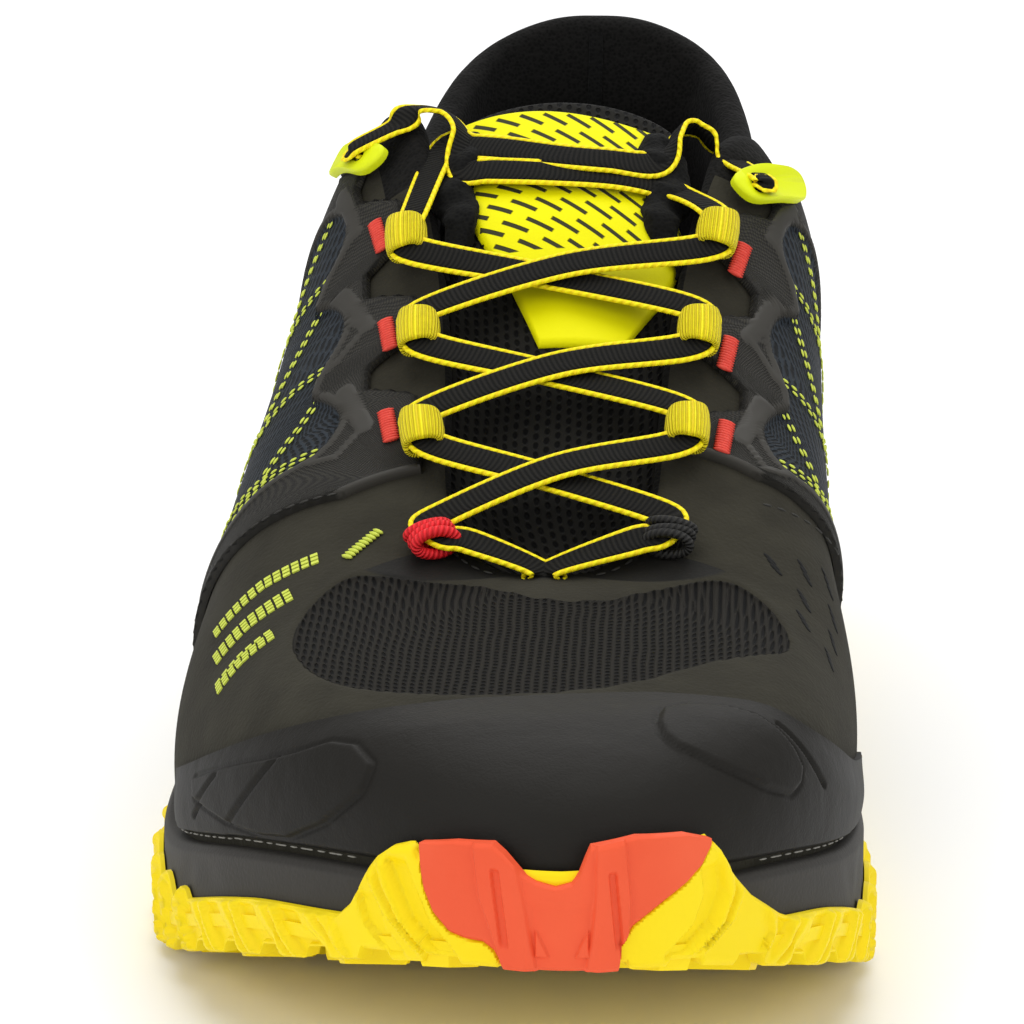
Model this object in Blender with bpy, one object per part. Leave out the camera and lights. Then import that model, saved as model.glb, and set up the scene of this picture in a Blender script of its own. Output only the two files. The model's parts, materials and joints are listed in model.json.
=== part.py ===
"""A trail running shoe for the right foot, empty, standing on its sole.

Frame: +Z up, toe towards -Y, heel towards +Y, big-toe side towards +X.
The middle of the outline and the floor are at the origin.
"""

import math
from collections import namedtuple

import bmesh
import bpy
import numpy as np

MM = 0.001

# Driving sizes of the whole shoe
LENGTH = 290 * MM
BALL_WIDTH = 109 * MM
COLLAR_HEIGHT = 111 * MM
STACK_HEIGHT = 27 * MM

# Walls and layers
CLEARANCE = 0.3 * MM
UPPER_WALL = 2.2 * MM
COLLAR_PAD = 6.0 * MM
RIM_WALL = 2.9 * MM
OUTSOLE_WALL = 1.9 * MM
OUTSOLE_BASE = 2.2 * MM
LUG_DEPTH = 4.4 * MM
LUG_FADE = 0.62
TOE_CAP_WALL = 1.5 * MM

LUG_TAPER = 0.86
LUG_COLUMNS = 8
FLAT_HEEL = 0.13
FLAT_BALL = 0.715
TOOTH_RISE = 1.6 * MM
RIB_DEPTH = 0.8 * MM
TOE_PIECE_TOP = 0.052
TOE_PIECE_FOOT = 0.020
# Toe piece from the lateral end to the medial one: turn from the tip, height in millimetres
TOE_PIECE = (
    (-0.0490, 41.5), (-0.044, 43.2), (-0.036, 43.6), (-0.028, 43.4), (-0.0225, 42.6),
    (-0.0195, 41.2), (-0.012, 39.2), (-0.004, 38.6), (0.003, 39.6), (0.010, 43.4),
    (0.0195, 44.0), (0.0225, 44.0), (0.032, 44.0), (0.042, 43.4), (0.0490, 42.0),
)
INSOLE_EDGE = 3.6 * MM
INSOLE_DISH = 1.2 * MM
LAYER_GAP = 0.5 * MM
RIM_RISE = 1.5 * MM
CAGE_GAP = 0.7 * MM
CAGE_WALL = 1.2 * MM

# How finely the loops are cut
SOLE_STEPS = 46
MIDSOLE_STEPS = 44
INSOLE_STEPS = 22
UPPER_STEPS = 44
UPPER_CLIMBS = (0.0, 0.13, 0.28, 0.43, 0.58, 0.72, 0.84, 0.93, 1.0)

# Toe cap: top edge by turn of the loop
CAP_REACH = 0.168
CAP_TURNS = (0.325, 0.341, 0.375, 0.406, 0.445, 0.480, 0.504, 0.526, 0.547, 0.570, 0.597, 0.639, 0.67)
CAP_CLIMBS = (0.14, 0.18, 0.27, 0.37, 0.49, 0.59, 0.62, 0.61, 0.56, 0.50, 0.37, 0.22, 0.18)

# Midfoot panel by half-loop turn, from the front edge back. low 0 is the midsole's rim.
Finger = namedtuple("Finger", "turn low top")
CAGE_LATERAL = [
    Finger(0.312, 0.80, 0.96), Finger(0.305, 0.64, 0.96), Finger(0.299, 0.51, 0.96),
    Finger(0.292, 0.37, 0.95), Finger(0.287, 0.26, 0.84), Finger(0.282, 0.16, 0.84),
    Finger(0.278, 0.0, 0.96), Finger(0.271, 0.0, 0.96), Finger(0.266, 0.0, 0.84),
    Finger(0.260, 0.0, 0.84), Finger(0.256, 0.0, 0.95), Finger(0.248, 0.0, 0.95),
    Finger(0.242, 0.0, 0.84), Finger(0.237, 0.0, 0.83), Finger(0.232, 0.0, 0.89),
    Finger(0.222, 0.0, 0.87), Finger(0.210, 0.0, 0.81), Finger(0.197, 0.0, 0.74),
    Finger(0.182, 0.0, 0.64), Finger(0.165, 0.0, 0.54),
]
CAGE_MEDIAL = [
    Finger(0.303, 0.80, 0.96), Finger(0.299, 0.64, 0.96), Finger(0.294, 0.51, 0.95),
    Finger(0.289, 0.37, 0.84), Finger(0.284, 0.26, 0.84), Finger(0.280, 0.16, 0.95),
    Finger(0.273, 0.0, 0.96), Finger(0.268, 0.0, 0.84), Finger(0.262, 0.0, 0.84),
    Finger(0.258, 0.0, 0.95), Finger(0.249, 0.0, 0.95), Finger(0.244, 0.0, 0.84),
    Finger(0.239, 0.0, 0.83), Finger(0.234, 0.0, 0.89), Finger(0.224, 0.0, 0.87),
    Finger(0.211, 0.0, 0.81), Finger(0.198, 0.0, 0.74), Finger(0.183, 0.0, 0.64),
    Finger(0.165, 0.0, 0.54),
]
COUNTER_REACH = 0.11
COUNTER_CLIMB = 0.56

# Tongue: crown and width at shares of the length, thickness in millimetres
TONGUE_STATIONS = (0.690, 0.66, 0.62, 0.58, 0.54, 0.50, 0.47, 0.44, 0.415, 0.395, 0.378, 0.370)
TONGUE_SHARES = (0.36, 0.378, 0.40, 0.44, 0.50, 0.60, 0.72)
TONGUE_CROWN = (1.012, 1.004, 0.975, 0.920, 0.835, 0.69, 0.5)
TONGUE_WIDTH = (0.185, 0.19, 0.19, 0.185, 0.185, 0.18, 0.15)
TONGUE_THICK = (4.0, 6.5, 5.5, 3.4, 3.0, 3.0, 3.0)
TONGUE_PARTS = 10
TONGUE_GAP = 0.6 * MM
TONGUE_ROUND = 0.28
TONGUE_EASE = 0.36
PLATE_WALL = 1.0 * MM
PLATE_ROWS = (
    (0.512, 0.42), (0.495, 0.52), (0.475, 0.60), (0.45, 0.68), (0.42, 0.78), (0.395, 0.82),
    (0.384, 0.82),
)

# Lace and its fittings
LOOP_SHARES = (0.618, 0.548, 0.480)
CORD_LOOP_SHARE = 0.688
HOOK_SHARES = {"lateral": 0.418, "medial": 0.445}
LOOP_INWARD = -1.5 * MM
CORD_LOOP_INWARD = -4.5 * MM
LOOP_LIFT = 2.2 * MM
CORD_LOOP_LIFT = 0.9 * MM
LOOP_WIDE = 9.0 * MM
LOOP_TALL = 4.8 * MM
LOOP_LENGTH = 7.0 * MM
LOOP_STRAP = 1.2 * MM
HOOK_INWARD = -5.5 * MM
HOOK_LIFT = 3.2 * MM
HOOK_WIDE = 12.0 * MM
HOOK_LONG = 9.0 * MM
HOOK_THICK = 2.4 * MM
HOOK_STRAP = 2.6 * MM
RING_SIDES = 12
LACE_WIDE = 6.0 * MM
LACE_THICK = 1.3 * MM
BAR_SHIFT = 2.6 * MM
BAR_REACH = 6.2 * MM
TOP_BAR_SHARE = 0.418
HOOK_BAR_REACH = 10.5 * MM
BAR_ARCH = 0.6 * MM
CROSS_LIFT = 0.6 * MM

Section = namedtuple(
    "Section", "share lateral medial ground bed bite_lateral bite_medial edge_lateral edge_medial"
)
# Share runs from heel to toe. Sides are shares of the ball width, heights of the stack height.
# ground is the underside of the lugs, bite the top of the midsole's rim, edge that of the outsole.
SECTIONS = [
    Section(0.024, -0.159, 0.245, 0.22, 1.02, 1.36, 1.36, 0.90, 0.90),
    Section(0.069, -0.267, 0.352, 0.12, 1.01, 1.35, 1.36, 0.80, 0.80),
    Section(0.138, -0.319, 0.401, 0.00, 1.00, 1.31, 1.33, 0.62, 0.62),
    Section(0.241, -0.324, 0.396, 0.00, 0.97, 1.22, 1.30, 0.55, 0.56),
    Section(0.345, -0.339, 0.382, 0.00, 0.90, 1.12, 1.27, 0.50, 0.54),
    Section(0.448, -0.389, 0.391, 0.00, 0.79, 0.98, 1.18, 0.46, 0.52),
    Section(0.552, -0.468, 0.431, 0.00, 0.66, 0.82, 1.02, 0.43, 0.48),
    Section(0.638, -0.504, 0.476, 0.00, 0.56, 0.70, 0.89, 0.41, 0.44),
    Section(0.707, -0.500, 0.498, 0.00, 0.52, 0.66, 0.85, 0.40, 0.43),
    Section(0.776, -0.458, 0.494, 0.15, 0.62, 0.78, 0.92, 0.47, 0.49),
    Section(0.845, -0.382, 0.466, 0.42, 0.82, 1.00, 1.05, 0.60, 0.60),
    Section(0.914, -0.261, 0.395, 0.68, 1.07, 1.20, 1.22, 0.81, 0.84),
    Section(0.945, -0.185, 0.340, 0.80, 1.18, 1.27, 1.28, 1.03, 1.05),
    Section(0.970, -0.107, 0.275, 0.90, 1.25, 1.31, 1.31, 1.50, 1.50),
]
HEEL_TIP = Section(0.0, 0.044, 0.044, 0.28, 1.02, 1.37, 1.37, 0.92, 0.92)
TOE_TIP = Section(1.0, 0.093, 0.093, 0.98, 1.29, 1.34, 1.34, 1.48, 1.48)

Rib = namedtuple("Rib", "foot top spread height rise bulge reach drop")
# One row for each line that runs from the sole up to the opening's edge.
# foot and top are shares of the length, spread, bulge and reach of the ball width,
# height, rise and drop of the collar height.
LATERAL_RIBS = [
    Rib(0.031, 0.048, -0.090, 0.986, 0.31, 0.046, -0.055, 0.216),
    Rib(0.076, 0.069, -0.183, 0.946, 0.30, 0.046, -0.037, 0.198),
    Rib(0.138, 0.117, -0.238, 0.892, 0.29, 0.037, -0.009, 0.180),
    Rib(0.214, 0.186, -0.275, 0.829, 0.27, 0.037, 0.009, 0.171),
    Rib(0.283, 0.262, -0.307, 0.811, 0.27, 0.046, 0.037, 0.162),
    Rib(0.345, 0.324, -0.312, 0.874, 0.29, 0.073, 0.064, 0.162),
    Rib(0.400, 0.366, -0.275, 0.973, 0.31, 0.101, 0.110, 0.150),
    Rib(0.448, 0.403, -0.234, 0.964, 0.31, 0.101, 0.165, 0.110),
    Rib(0.497, 0.448, -0.202, 0.883, 0.30, 0.090, 0.200, 0.081),
    Rib(0.559, 0.507, -0.174, 0.784, 0.29, 0.070, 0.220, 0.054),
    Rib(0.621, 0.572, -0.156, 0.685, 0.27, 0.050, 0.230, 0.036),
    Rib(0.690, 0.634, -0.147, 0.595, 0.25, 0.046, 0.250, 0.027),
    Rib(0.766, 0.676, -0.124, 0.541, 0.23, 0.037, 0.270, 0.018),
    Rib(0.845, 0.700, -0.083, 0.514, 0.22, 0.028, 0.330, 0.018),
    Rib(0.924, 0.709, -0.041, 0.505, 0.20, 0.023, 0.430, 0.027),
]
MEDIAL_RIBS = [
    Rib(0.031, 0.048, 0.150, 0.986, 0.31, 0.046, -0.055, 0.216),
    Rib(0.076, 0.069, 0.238, 0.946, 0.30, 0.046, -0.037, 0.198),
    Rib(0.138, 0.117, 0.284, 0.892, 0.29, 0.037, -0.009, 0.180),
    Rib(0.214, 0.186, 0.303, 0.829, 0.27, 0.037, 0.009, 0.171),
    Rib(0.283, 0.262, 0.307, 0.811, 0.28, 0.056, 0.037, 0.162),
    Rib(0.345, 0.324, 0.316, 0.865, 0.30, 0.083, 0.064, 0.150),
    Rib(0.400, 0.374, 0.289, 0.946, 0.31, 0.110, 0.119, 0.120),
    Rib(0.448, 0.412, 0.248, 0.946, 0.31, 0.115, 0.180, 0.090),
    Rib(0.497, 0.457, 0.211, 0.874, 0.30, 0.110, 0.211, 0.054),
    Rib(0.559, 0.517, 0.183, 0.775, 0.29, 0.090, 0.229, 0.045),
    Rib(0.621, 0.581, 0.165, 0.676, 0.27, 0.064, 0.239, 0.036),
    Rib(0.690, 0.645, 0.156, 0.590, 0.24, 0.046, 0.257, 0.027),
    Rib(0.766, 0.683, 0.128, 0.541, 0.23, 0.037, 0.270, 0.018),
    Rib(0.845, 0.703, 0.083, 0.514, 0.22, 0.028, 0.330, 0.018),
    Rib(0.924, 0.709, 0.041, 0.505, 0.20, 0.023, 0.430, 0.027),
]
HEEL_RIB = Rib(0.0, 0.041, 0.030, 1.0, 0.31, 0.046, -0.064, 0.216)
TOE_RIB = Rib(1.0, 0.710, 0.0, 0.505, 0.19, 0.018, 0.532, 0.036)
INSTEP_CENTRE = 0.044


def closed_spline(knots, values):
    """A smooth curve through values at knots on a loop of length one."""
    knots, values = np.asarray(knots, float), np.asarray(values, float)
    gap = np.roll(knots, -1) - knots
    gap[-1] += 1
    slope = (np.roll(values, -1) - values) / gap
    count = len(knots)
    matrix = np.zeros((count, count))
    for i in range(count):
        matrix[i, i - 1] += gap[i - 1]
        matrix[i, i] += 2 * (gap[i - 1] + gap[i])
        matrix[i, (i + 1) % count] += gap[i]
    bend = np.linalg.solve(matrix, 6 * (slope - np.roll(slope, 1)))

    def curve(turn):
        turn = np.mod(np.asarray(turn, float) - knots[0], 1) + knots[0]
        i = np.clip(np.searchsorted(knots, turn, "right") - 1, 0, count - 1)
        j = (i + 1) % count
        ahead = (turn - knots[i]) / gap[i]
        behind = 1 - ahead
        cubic = (behind**3 - behind) * bend[i] + (ahead**3 - ahead) * bend[j]
        return behind * values[i] + ahead * values[j] + cubic * gap[i] ** 2 / 6

    return curve


def turn_of(share, side):
    """Place on the loop, heel 0 and toe 0.5, of a share of the length on one side."""
    half = math.acos(1 - 2 * share) / (2 * math.pi)
    return half if side == "lateral" else 1 - half


def share_of(turn):
    return (1 - np.cos(2 * np.pi * np.asarray(turn, float))) / 2


def around(heel, lateral, toe, medial, pick):
    """Spline of one column, round the loop from the heel by the lateral side and the toe."""
    rows = [(0.0, pick(heel, "lateral"))]
    rows += [(turn_of(r[0], "lateral"), pick(r, "lateral")) for r in lateral]
    rows += [(0.5, pick(toe, "lateral"))]
    rows += [(turn_of(r[0], "medial"), pick(r, "medial")) for r in reversed(medial)]
    return closed_spline([r[0] for r in rows], [r[1] for r in rows])


def sole_column(kind, size):
    """Spline of a section column that has a lateral and a medial value."""
    return around(
        HEEL_TIP, SECTIONS, TOE_TIP, SECTIONS,
        lambda row, side: size * getattr(row, kind.format(side)),
    )


def rib_column(name, size):
    return around(
        HEEL_RIB, LATERAL_RIBS, TOE_RIB, MEDIAL_RIBS,
        lambda row, side: size * getattr(row, name),
    )


outline_x = sole_column("{}", BALL_WIDTH)
ground_spline = sole_column("ground", STACK_HEIGHT)
bed_height = sole_column("bed", STACK_HEIGHT)
bite_height = sole_column("bite_{}", STACK_HEIGHT)
edge_height = sole_column("edge_{}", STACK_HEIGHT)


def place_y(share):
    """Y of a share of the length, heel 0 and toe 1."""
    return LENGTH * (0.5 - np.asarray(share, float))


def outline(turn, inset=0.0):
    """Plan outline of the sole, moved inwards by inset, and its outward normal."""
    step = 1e-4

    def point(t):
        return np.stack([outline_x(t), place_y(share_of(t))], -1)

    along = point(np.asarray(turn) + step) - point(np.asarray(turn) - step)
    normal = np.stack([along[..., 1], -along[..., 0]], -1)
    normal /= np.linalg.norm(normal, axis=-1, keepdims=True)
    return point(turn) - normal * np.asarray(inset)[..., None], normal


UPPER_INSET = OUTSOLE_WALL + CLEARANCE + RIM_WALL + CLEARANCE

top_share = rib_column("top", 1.0)
top_spread = rib_column("spread", BALL_WIDTH)
top_height = rib_column("height", COLLAR_HEIGHT)
low_rise = rib_column("rise", COLLAR_HEIGHT)
low_bulge = rib_column("bulge", BALL_WIDTH)
high_reach = rib_column("reach", BALL_WIDTH)
high_drop = rib_column("drop", COLLAR_HEIGHT)


def upper_surface(turn, climb):
    """Outer face of the upper: climb runs from the midsole's rim, 0, to the opening's edge, 1."""
    turn, climb = np.broadcast_arrays(np.asarray(turn, float), np.asarray(climb, float))
    plan, normal = outline(turn, UPPER_INSET)
    foot = np.concatenate([plan, (bite_height(turn) - 0.5 * MM)[..., None]], -1)
    side = np.concatenate([normal, np.zeros(normal.shape[:-1] + (1,))], -1)
    up = np.array([0.0, 0.0, 1.0])
    top = np.stack(
        [
            INSTEP_CENTRE * BALL_WIDTH + top_spread(turn),
            place_y(top_share(turn)),
            top_height(turn),
        ],
        -1,
    )
    rise = low_rise(turn) + bed_height(turn) - bite_height(turn)
    low = foot + side * low_bulge(turn)[..., None] + up * rise[..., None]
    high = top + side * high_reach(turn)[..., None] - up * high_drop(turn)[..., None]
    t = climb[..., None]
    return (
        (1 - t) ** 3 * foot + 3 * (1 - t) ** 2 * t * low + 3 * (1 - t) * t**2 * high + t**3 * top
    )

UP = np.array([0.0, 0.0, 1.0])


def ease(value, low, high):
    """0 below low, 1 above high, smooth between."""
    t = np.clip((np.asarray(value, float) - low) / (high - low), 0, 1)
    return t * t * (3 - 2 * t)


def along_outline(count, inset=0.0):
    """Half-loop turns from heel to toe, evenly spaced along the sole's edge."""
    dense = np.linspace(0, 0.5, 801)
    edge, _ = outline(dense, inset)
    run = np.concatenate([[0], np.cumsum(np.linalg.norm(np.diff(edge, axis=0), axis=1))])
    return np.interp(np.linspace(0, run[-1], count + 1), run, dense)


def whole_loop(half):
    """Turns of a whole loop from half a loop: item i faces item -i across the shoe."""
    return np.concatenate([half, 1 - half[-2:0:-1]])


def upper_normal(turn, climb):
    step = 2e-4
    low, high = np.clip(climb - step, 0, 1), np.clip(climb + step, 0, 1)
    along = upper_surface(turn + step, climb) - upper_surface(turn - step, climb)
    rise = upper_surface(turn, high) - upper_surface(turn, low)
    normal = np.cross(along, rise)
    return normal / np.linalg.norm(normal, axis=-1, keepdims=True)


def upper_point(turn, climb, out=0.0):
    """A point of the upper's outer face, moved outwards by out."""
    turn, climb = np.broadcast_arrays(np.asarray(turn, float), np.asarray(climb, float))
    shift = np.asarray(out, float)[..., None]
    return upper_surface(turn, climb) + upper_normal(turn, climb) * shift


def climb_at_height(turn, height):
    """Lowest climb at which the upper is as high as height, for each turn."""
    climbs = np.linspace(0, 0.7, 281)
    found = []
    for one, level in zip(np.atleast_1d(turn), np.atleast_1d(height)):
        heights = upper_surface(np.full_like(climbs, one), climbs)[:, 2]
        found.append(climbs[np.argmax(heights >= level)])
    return np.array(found)


class Skin:
    """Points and faces of one closed solid."""

    def __init__(self):
        self.points = []
        self.faces = []

    def row(self, points):
        start = len(self.points)
        self.points.extend(np.asarray(points, float).reshape(-1, 3).tolist())
        return list(range(start, len(self.points)))

    def band(self, low, high, closed=True):
        """Quads between two rows of the same count."""
        count = len(low)
        for i in range(count if closed else count - 1):
            j = (i + 1) % count
            self.faces.append((low[i], low[j], high[j], high[i]))

    def rungs(self, ring, parts, lift=None):
        """Rows of points across a loop, from each lateral point to the one facing it."""
        count = len(ring)
        rows = []
        for i in range(1, count // 2):
            a, b = np.array(self.points[ring[i]]), np.array(self.points[ring[-i]])
            inner = []
            for k in range(1, parts):
                point = a + (b - a) * k / parts
                if lift is not None:
                    point[2] += lift(point, k / parts)
                inner.append(point)
            rows.append([ring[i]] + self.row(inner) + [ring[-i]])
        return rows

    def fill(self, ring, parts, lift=None, lug=None):
        """Close a loop with a grid; lug names the cells that stand out as lugs."""
        rows = self.rungs(ring, parts, lift)
        for k in range(parts):
            self.faces.append((ring[0], rows[0][k + 1], rows[0][k]))
            self.faces.append((ring[len(ring) // 2], rows[-1][k], rows[-1][k + 1]))
        for i in range(len(rows) - 1):
            for k in range(parts):
                cell = (rows[i][k], rows[i][k + 1], rows[i + 1][k + 1], rows[i + 1][k])
                if lug is not None and lug(i, k):
                    self.stand_out(cell)
                else:
                    self.faces.append(cell)

    def stand_out(self, cell):
        """One lug: the cell's outline taken down to the ground surface."""
        corners = np.array([self.points[n] for n in cell])
        middle = corners.mean(axis=0)
        low = middle + (corners - middle) * LUG_TAPER
        low[:, 2] = ground_height(low[:, 1])
        foot = self.row(low)
        for i in range(4):
            j = (i + 1) % 4
            self.faces.append((cell[i], cell[j], foot[j], foot[i]))
        self.faces.append(tuple(foot))


def finish_solid(name, skin):
    mesh = bpy.data.meshes.new(name)
    mesh.from_pydata(skin.points, [], skin.faces)
    work = bmesh.new()
    work.from_mesh(mesh)
    bmesh.ops.remove_doubles(work, verts=work.verts[:], dist=1e-6)
    bmesh.ops.triangulate(work, faces=work.faces[:])
    bmesh.ops.recalc_face_normals(work, faces=work.faces[:])
    if work.calc_volume(signed=True) < 0:
        bmesh.ops.reverse_faces(work, faces=work.faces[:])
    work.to_mesh(mesh)
    work.free()
    body = bpy.data.objects.new(name, mesh)
    bpy.context.scene.collection.objects.link(body)
    return body


def ground_height(y):
    """Underside of the lugs over the floor at one place along the shoe."""
    share = 0.5 - np.asarray(y, float) / LENGTH
    middle = np.maximum(ground_spline(np.arccos(np.clip(1 - 2 * share, -1, 1)) / (2 * np.pi)), 0)
    flat = (share > FLAT_HEEL) & (share < FLAT_BALL)
    return np.where(flat, 0.0, middle)


def base_height(y):
    """Underside of the outsole between its lugs, which are shallow at the toe."""
    share = 0.5 - np.asarray(y, float) / LENGTH
    return ground_height(y) + LUG_DEPTH * (1 - LUG_FADE * ease(share, 0.88, 0.99))


def raised(plan, height):
    return np.concatenate([plan, np.asarray(height, float)[..., None]], -1)


def sole_ring(skin, turns, inset, height):
    plan, _ = outline(turns, inset)
    return skin.row(raised(plan, height))


def toe_notch(turns):
    """Share of the full edge height that the outsole keeps beside and under the toe piece."""
    away = np.abs(turns - 0.5)
    return np.clip((away - TOE_PIECE_FOOT) / (TOE_PIECE_TOP - TOE_PIECE_FOOT), 0, 1)


def outsole_edge(turns):
    """Top of the outsole's wall without its teeth."""
    low = base_height(place_y(share_of(turns))) + 1.2 * MM
    keep = toe_notch(turns)
    return low + (edge_height(turns) - low) * keep


def make_outsole():
    """Cupped rubber sole with toothed edge, ribbed side and lugs; the toe's front is left open."""
    half = along_outline(SOLE_STEPS)
    half = half[half < 0.5 - TOE_PIECE_TOP - 0.004]
    near = 0.5 - np.array([TOE_PIECE_TOP, 0.044, 0.036, 0.028, TOE_PIECE_FOOT, 0.010, 0.0])
    turns = whole_loop(np.concatenate([half, near]))
    order = np.arange(len(turns))
    place = place_y(share_of(turns))
    base = base_height(place)
    front = np.abs(turns - 0.5) < TOE_PIECE_FOOT + 1e-6
    near_toe = np.abs(turns - 0.5) < TOE_PIECE_TOP + 0.02
    tooth = np.where(order % 2 == 0, TOOTH_RISE, -TOOTH_RISE)
    edge = outsole_edge(turns) + np.where(near_toe, 0, tooth)
    rib = np.where((order % 2 == 0) | near_toe, RIB_DEPTH, 0)
    back = np.where(front, OUTSOLE_WALL + CLEARANCE, 0)
    skin = Skin()
    floor = sole_ring(skin, turns, OUTSOLE_WALL + 3.2 * MM, base + OUTSOLE_BASE)
    low_corner = np.minimum(base + OUTSOLE_BASE + 1.6 * MM, edge - 0.1 * MM)
    low_corner = np.where(front, base + OUTSOLE_BASE, low_corner)
    corner = sole_ring(skin, turns, OUTSOLE_WALL + back * 0.6, low_corner)
    inner_top = np.where(front, base + OUTSOLE_BASE - 0.2 * MM, edge)
    inner = sole_ring(skin, turns, OUTSOLE_WALL + back * 0.5, inner_top)
    outer = sole_ring(skin, turns, 0.9 * MM + back, np.where(front, base + 1.4 * MM, edge))
    side = sole_ring(
        skin, turns, RIB_DEPTH - rib + back, base + 0.42 * np.maximum(edge - base, 1.2 * MM)
    )
    under = sole_ring(skin, turns, 1.4 * MM + back, base)
    for low, high in ((floor, corner), (corner, inner), (inner, outer), (outer, side), (side, under)):
        skin.band(low, high)
    skin.fill(floor, 2)
    skin.fill(under, LUG_COLUMNS, lug=lambda i, k: i % 2 == 1 and (k + i // 2) % 2 == 0)
    return finish_solid("outsole", skin)


def make_outsole_toe():
    """Orange-red toe piece: a wall that wraps up over the front, with two humps."""
    turns = 0.5 + np.array([row[0] for row in TOE_PIECE])
    tops = np.array([row[1] for row in TOE_PIECE]) * MM
    base = base_height(place_y(share_of(turns)))
    beside = np.abs(turns - 0.5) > TOE_PIECE_FOOT
    low = np.where(beside, outsole_edge(turns) + 0.5 * MM, base - 0.6 * MM)
    tops = np.maximum(tops, low + 0.9 * MM)
    skin = Skin()
    rows = []
    levels = (
        (1.2, 0.0), (0.0, 0.35), (0.2, 0.7), (0.6, 1.0),
        (1.7, 1.0), (1.7, 0.5), (1.8, 0.0),
    )
    for inset, share in levels:
        rows.append(sole_ring(skin, turns, inset * MM, low + (tops - low) * share))
    for a, b in zip(rows, rows[1:] + rows[:1]):
        skin.band(a, b, closed=False)
    for end in (0, -1):
        skin.faces.append(tuple(row[end] for row in rows))
    return finish_solid("outsole_toe", skin)


def make_midsole():
    """Foam tray: a rim round the foot with the footbed inside."""
    turns = whole_loop(along_outline(MIDSOLE_STEPS))
    place = place_y(share_of(turns))
    base = base_height(place) + OUTSOLE_BASE + CLEARANCE
    bed = bed_height(turns)
    bite = bite_height(turns)
    wall = OUTSOLE_WALL + CLEARANCE + 0.15 * MM
    skin = Skin()
    floor = sole_ring(skin, turns, wall + 3.4 * MM, base)
    corner = sole_ring(skin, turns, wall, base + 2.0 * MM)
    side = sole_ring(skin, turns, wall, base + 0.6 * (bite - base))
    top = sole_ring(skin, turns, wall + 0.4 * MM, bite)
    inside = sole_ring(skin, turns, UPPER_INSET - CLEARANCE, bite)
    edge = sole_ring(skin, turns, UPPER_INSET - CLEARANCE, bed)
    for a, b in ((floor, corner), (corner, side), (side, top), (top, inside), (inside, edge)):
        skin.band(a, b)
    skin.fill(floor, 2)
    skin.fill(edge, 4)
    return finish_solid("midsole", skin)


def make_insole():
    turns = whole_loop(along_outline(INSOLE_STEPS))
    inset = UPPER_INSET + UPPER_WALL + 0.9 * MM
    bed = bed_height(turns)
    skin = Skin()
    low = sole_ring(skin, turns, inset, bed + 0.4 * MM)
    high = sole_ring(skin, turns, inset, bed + 0.4 * MM + INSOLE_EDGE)
    skin.band(low, high)
    skin.fill(low, 2)
    dish = lambda point, across: -INSOLE_DISH * math.sin(math.pi * across)
    skin.fill(high, 4, lift=dish)
    return finish_solid("insole", skin)


def upper_wall(turn, climb):
    """Wall of the upper: thin over the foot, padded round the ankle."""
    collar = 1 - ease(top_share(turn), 0.38, 0.46)
    return UPPER_WALL + (COLLAR_PAD - UPPER_WALL) * collar * ease(climb, 0.45, 0.85)


def make_upper():
    """One hollow body, open at collar and throat and underneath."""
    turns = whole_loop(along_outline(UPPER_STEPS))
    skin = Skin()
    outer = [skin.row(upper_point(turns, c)) for c in UPPER_CLIMBS]
    inner = [skin.row(upper_point(turns, c, -upper_wall(turns, c))) for c in UPPER_CLIMBS]
    lip = upper_wall(turns, 1.0)
    crest = 0.5 * (upper_point(turns, 1.0) + upper_point(turns, 1.0, -lip))
    rise = upper_point(turns, 1.0) - upper_point(turns, 0.97)
    rise /= np.linalg.norm(rise, axis=-1, keepdims=True)
    rim = skin.row(crest + rise * (lip * 0.45)[:, None])
    bed = bed_height(turns) + CLEARANCE
    outer.insert(0, sole_ring(skin, turns, UPPER_INSET, bed))
    inner.insert(0, sole_ring(skin, turns, UPPER_INSET + UPPER_WALL, bed))
    for rows in (outer, inner):
        for a, b in zip(rows, rows[1:]):
            skin.band(a, b)
    skin.band(outer[-1], rim)
    skin.band(rim, inner[-1])
    skin.band(inner[0], outer[0])
    return finish_solid("upper", skin)


def make_patch(name, turns, low, high, rows, inside, outside):
    """A layer on the upper between two climbs, from inside to outside of its face."""
    skin = Skin()
    sheets = []
    for out in (inside, outside):
        sheet = []
        for k in range(rows + 1):
            climb = low + (high - low) * k / rows
            sheet.append(skin.row(upper_point(turns, climb, np.full(len(turns), out))))
        sheets.append(sheet)
        for a, b in zip(sheet, sheet[1:]):
            skin.band(a, b, closed=False)
    for k in (0, rows):
        skin.band(sheets[0][k], sheets[1][k], closed=False)
    for end in (0, -1):
        skin.band(
            [row[end] for row in sheets[0]], [row[end] for row in sheets[1]], closed=False
        )
    return finish_solid(name, skin)


def rim_climb(turns):
    """Climb just above the midsole's rim."""
    return climb_at_height(turns, bite_height(turns) + RIM_RISE)


def make_toe_cap():
    turns = whole_loop(along_outline(UPPER_STEPS))
    turns = turns[np.abs(turns - 0.5) < CAP_REACH]
    high = np.interp(turns, CAP_TURNS, CAP_CLIMBS)
    return make_patch("toe_cap", turns, rim_climb(turns), high, 4, LAYER_GAP, LAYER_GAP + TOE_CAP_WALL)


def make_cage(side):
    """Midfoot panel: fingers rise to the lace loops with notches between them."""
    rows = CAGE_LATERAL if side == "lateral" else CAGE_MEDIAL
    turns = np.array([r.turn if side == "lateral" else 1 - r.turn for r in rows])
    tops = np.array([r.top for r in rows])
    lows = np.maximum(rim_climb(turns), np.array([r.low for r in rows]))
    return make_patch(
        "cage_" + side, turns, lows, tops, 6, CAGE_GAP, CAGE_GAP + CAGE_WALL
    )


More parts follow.
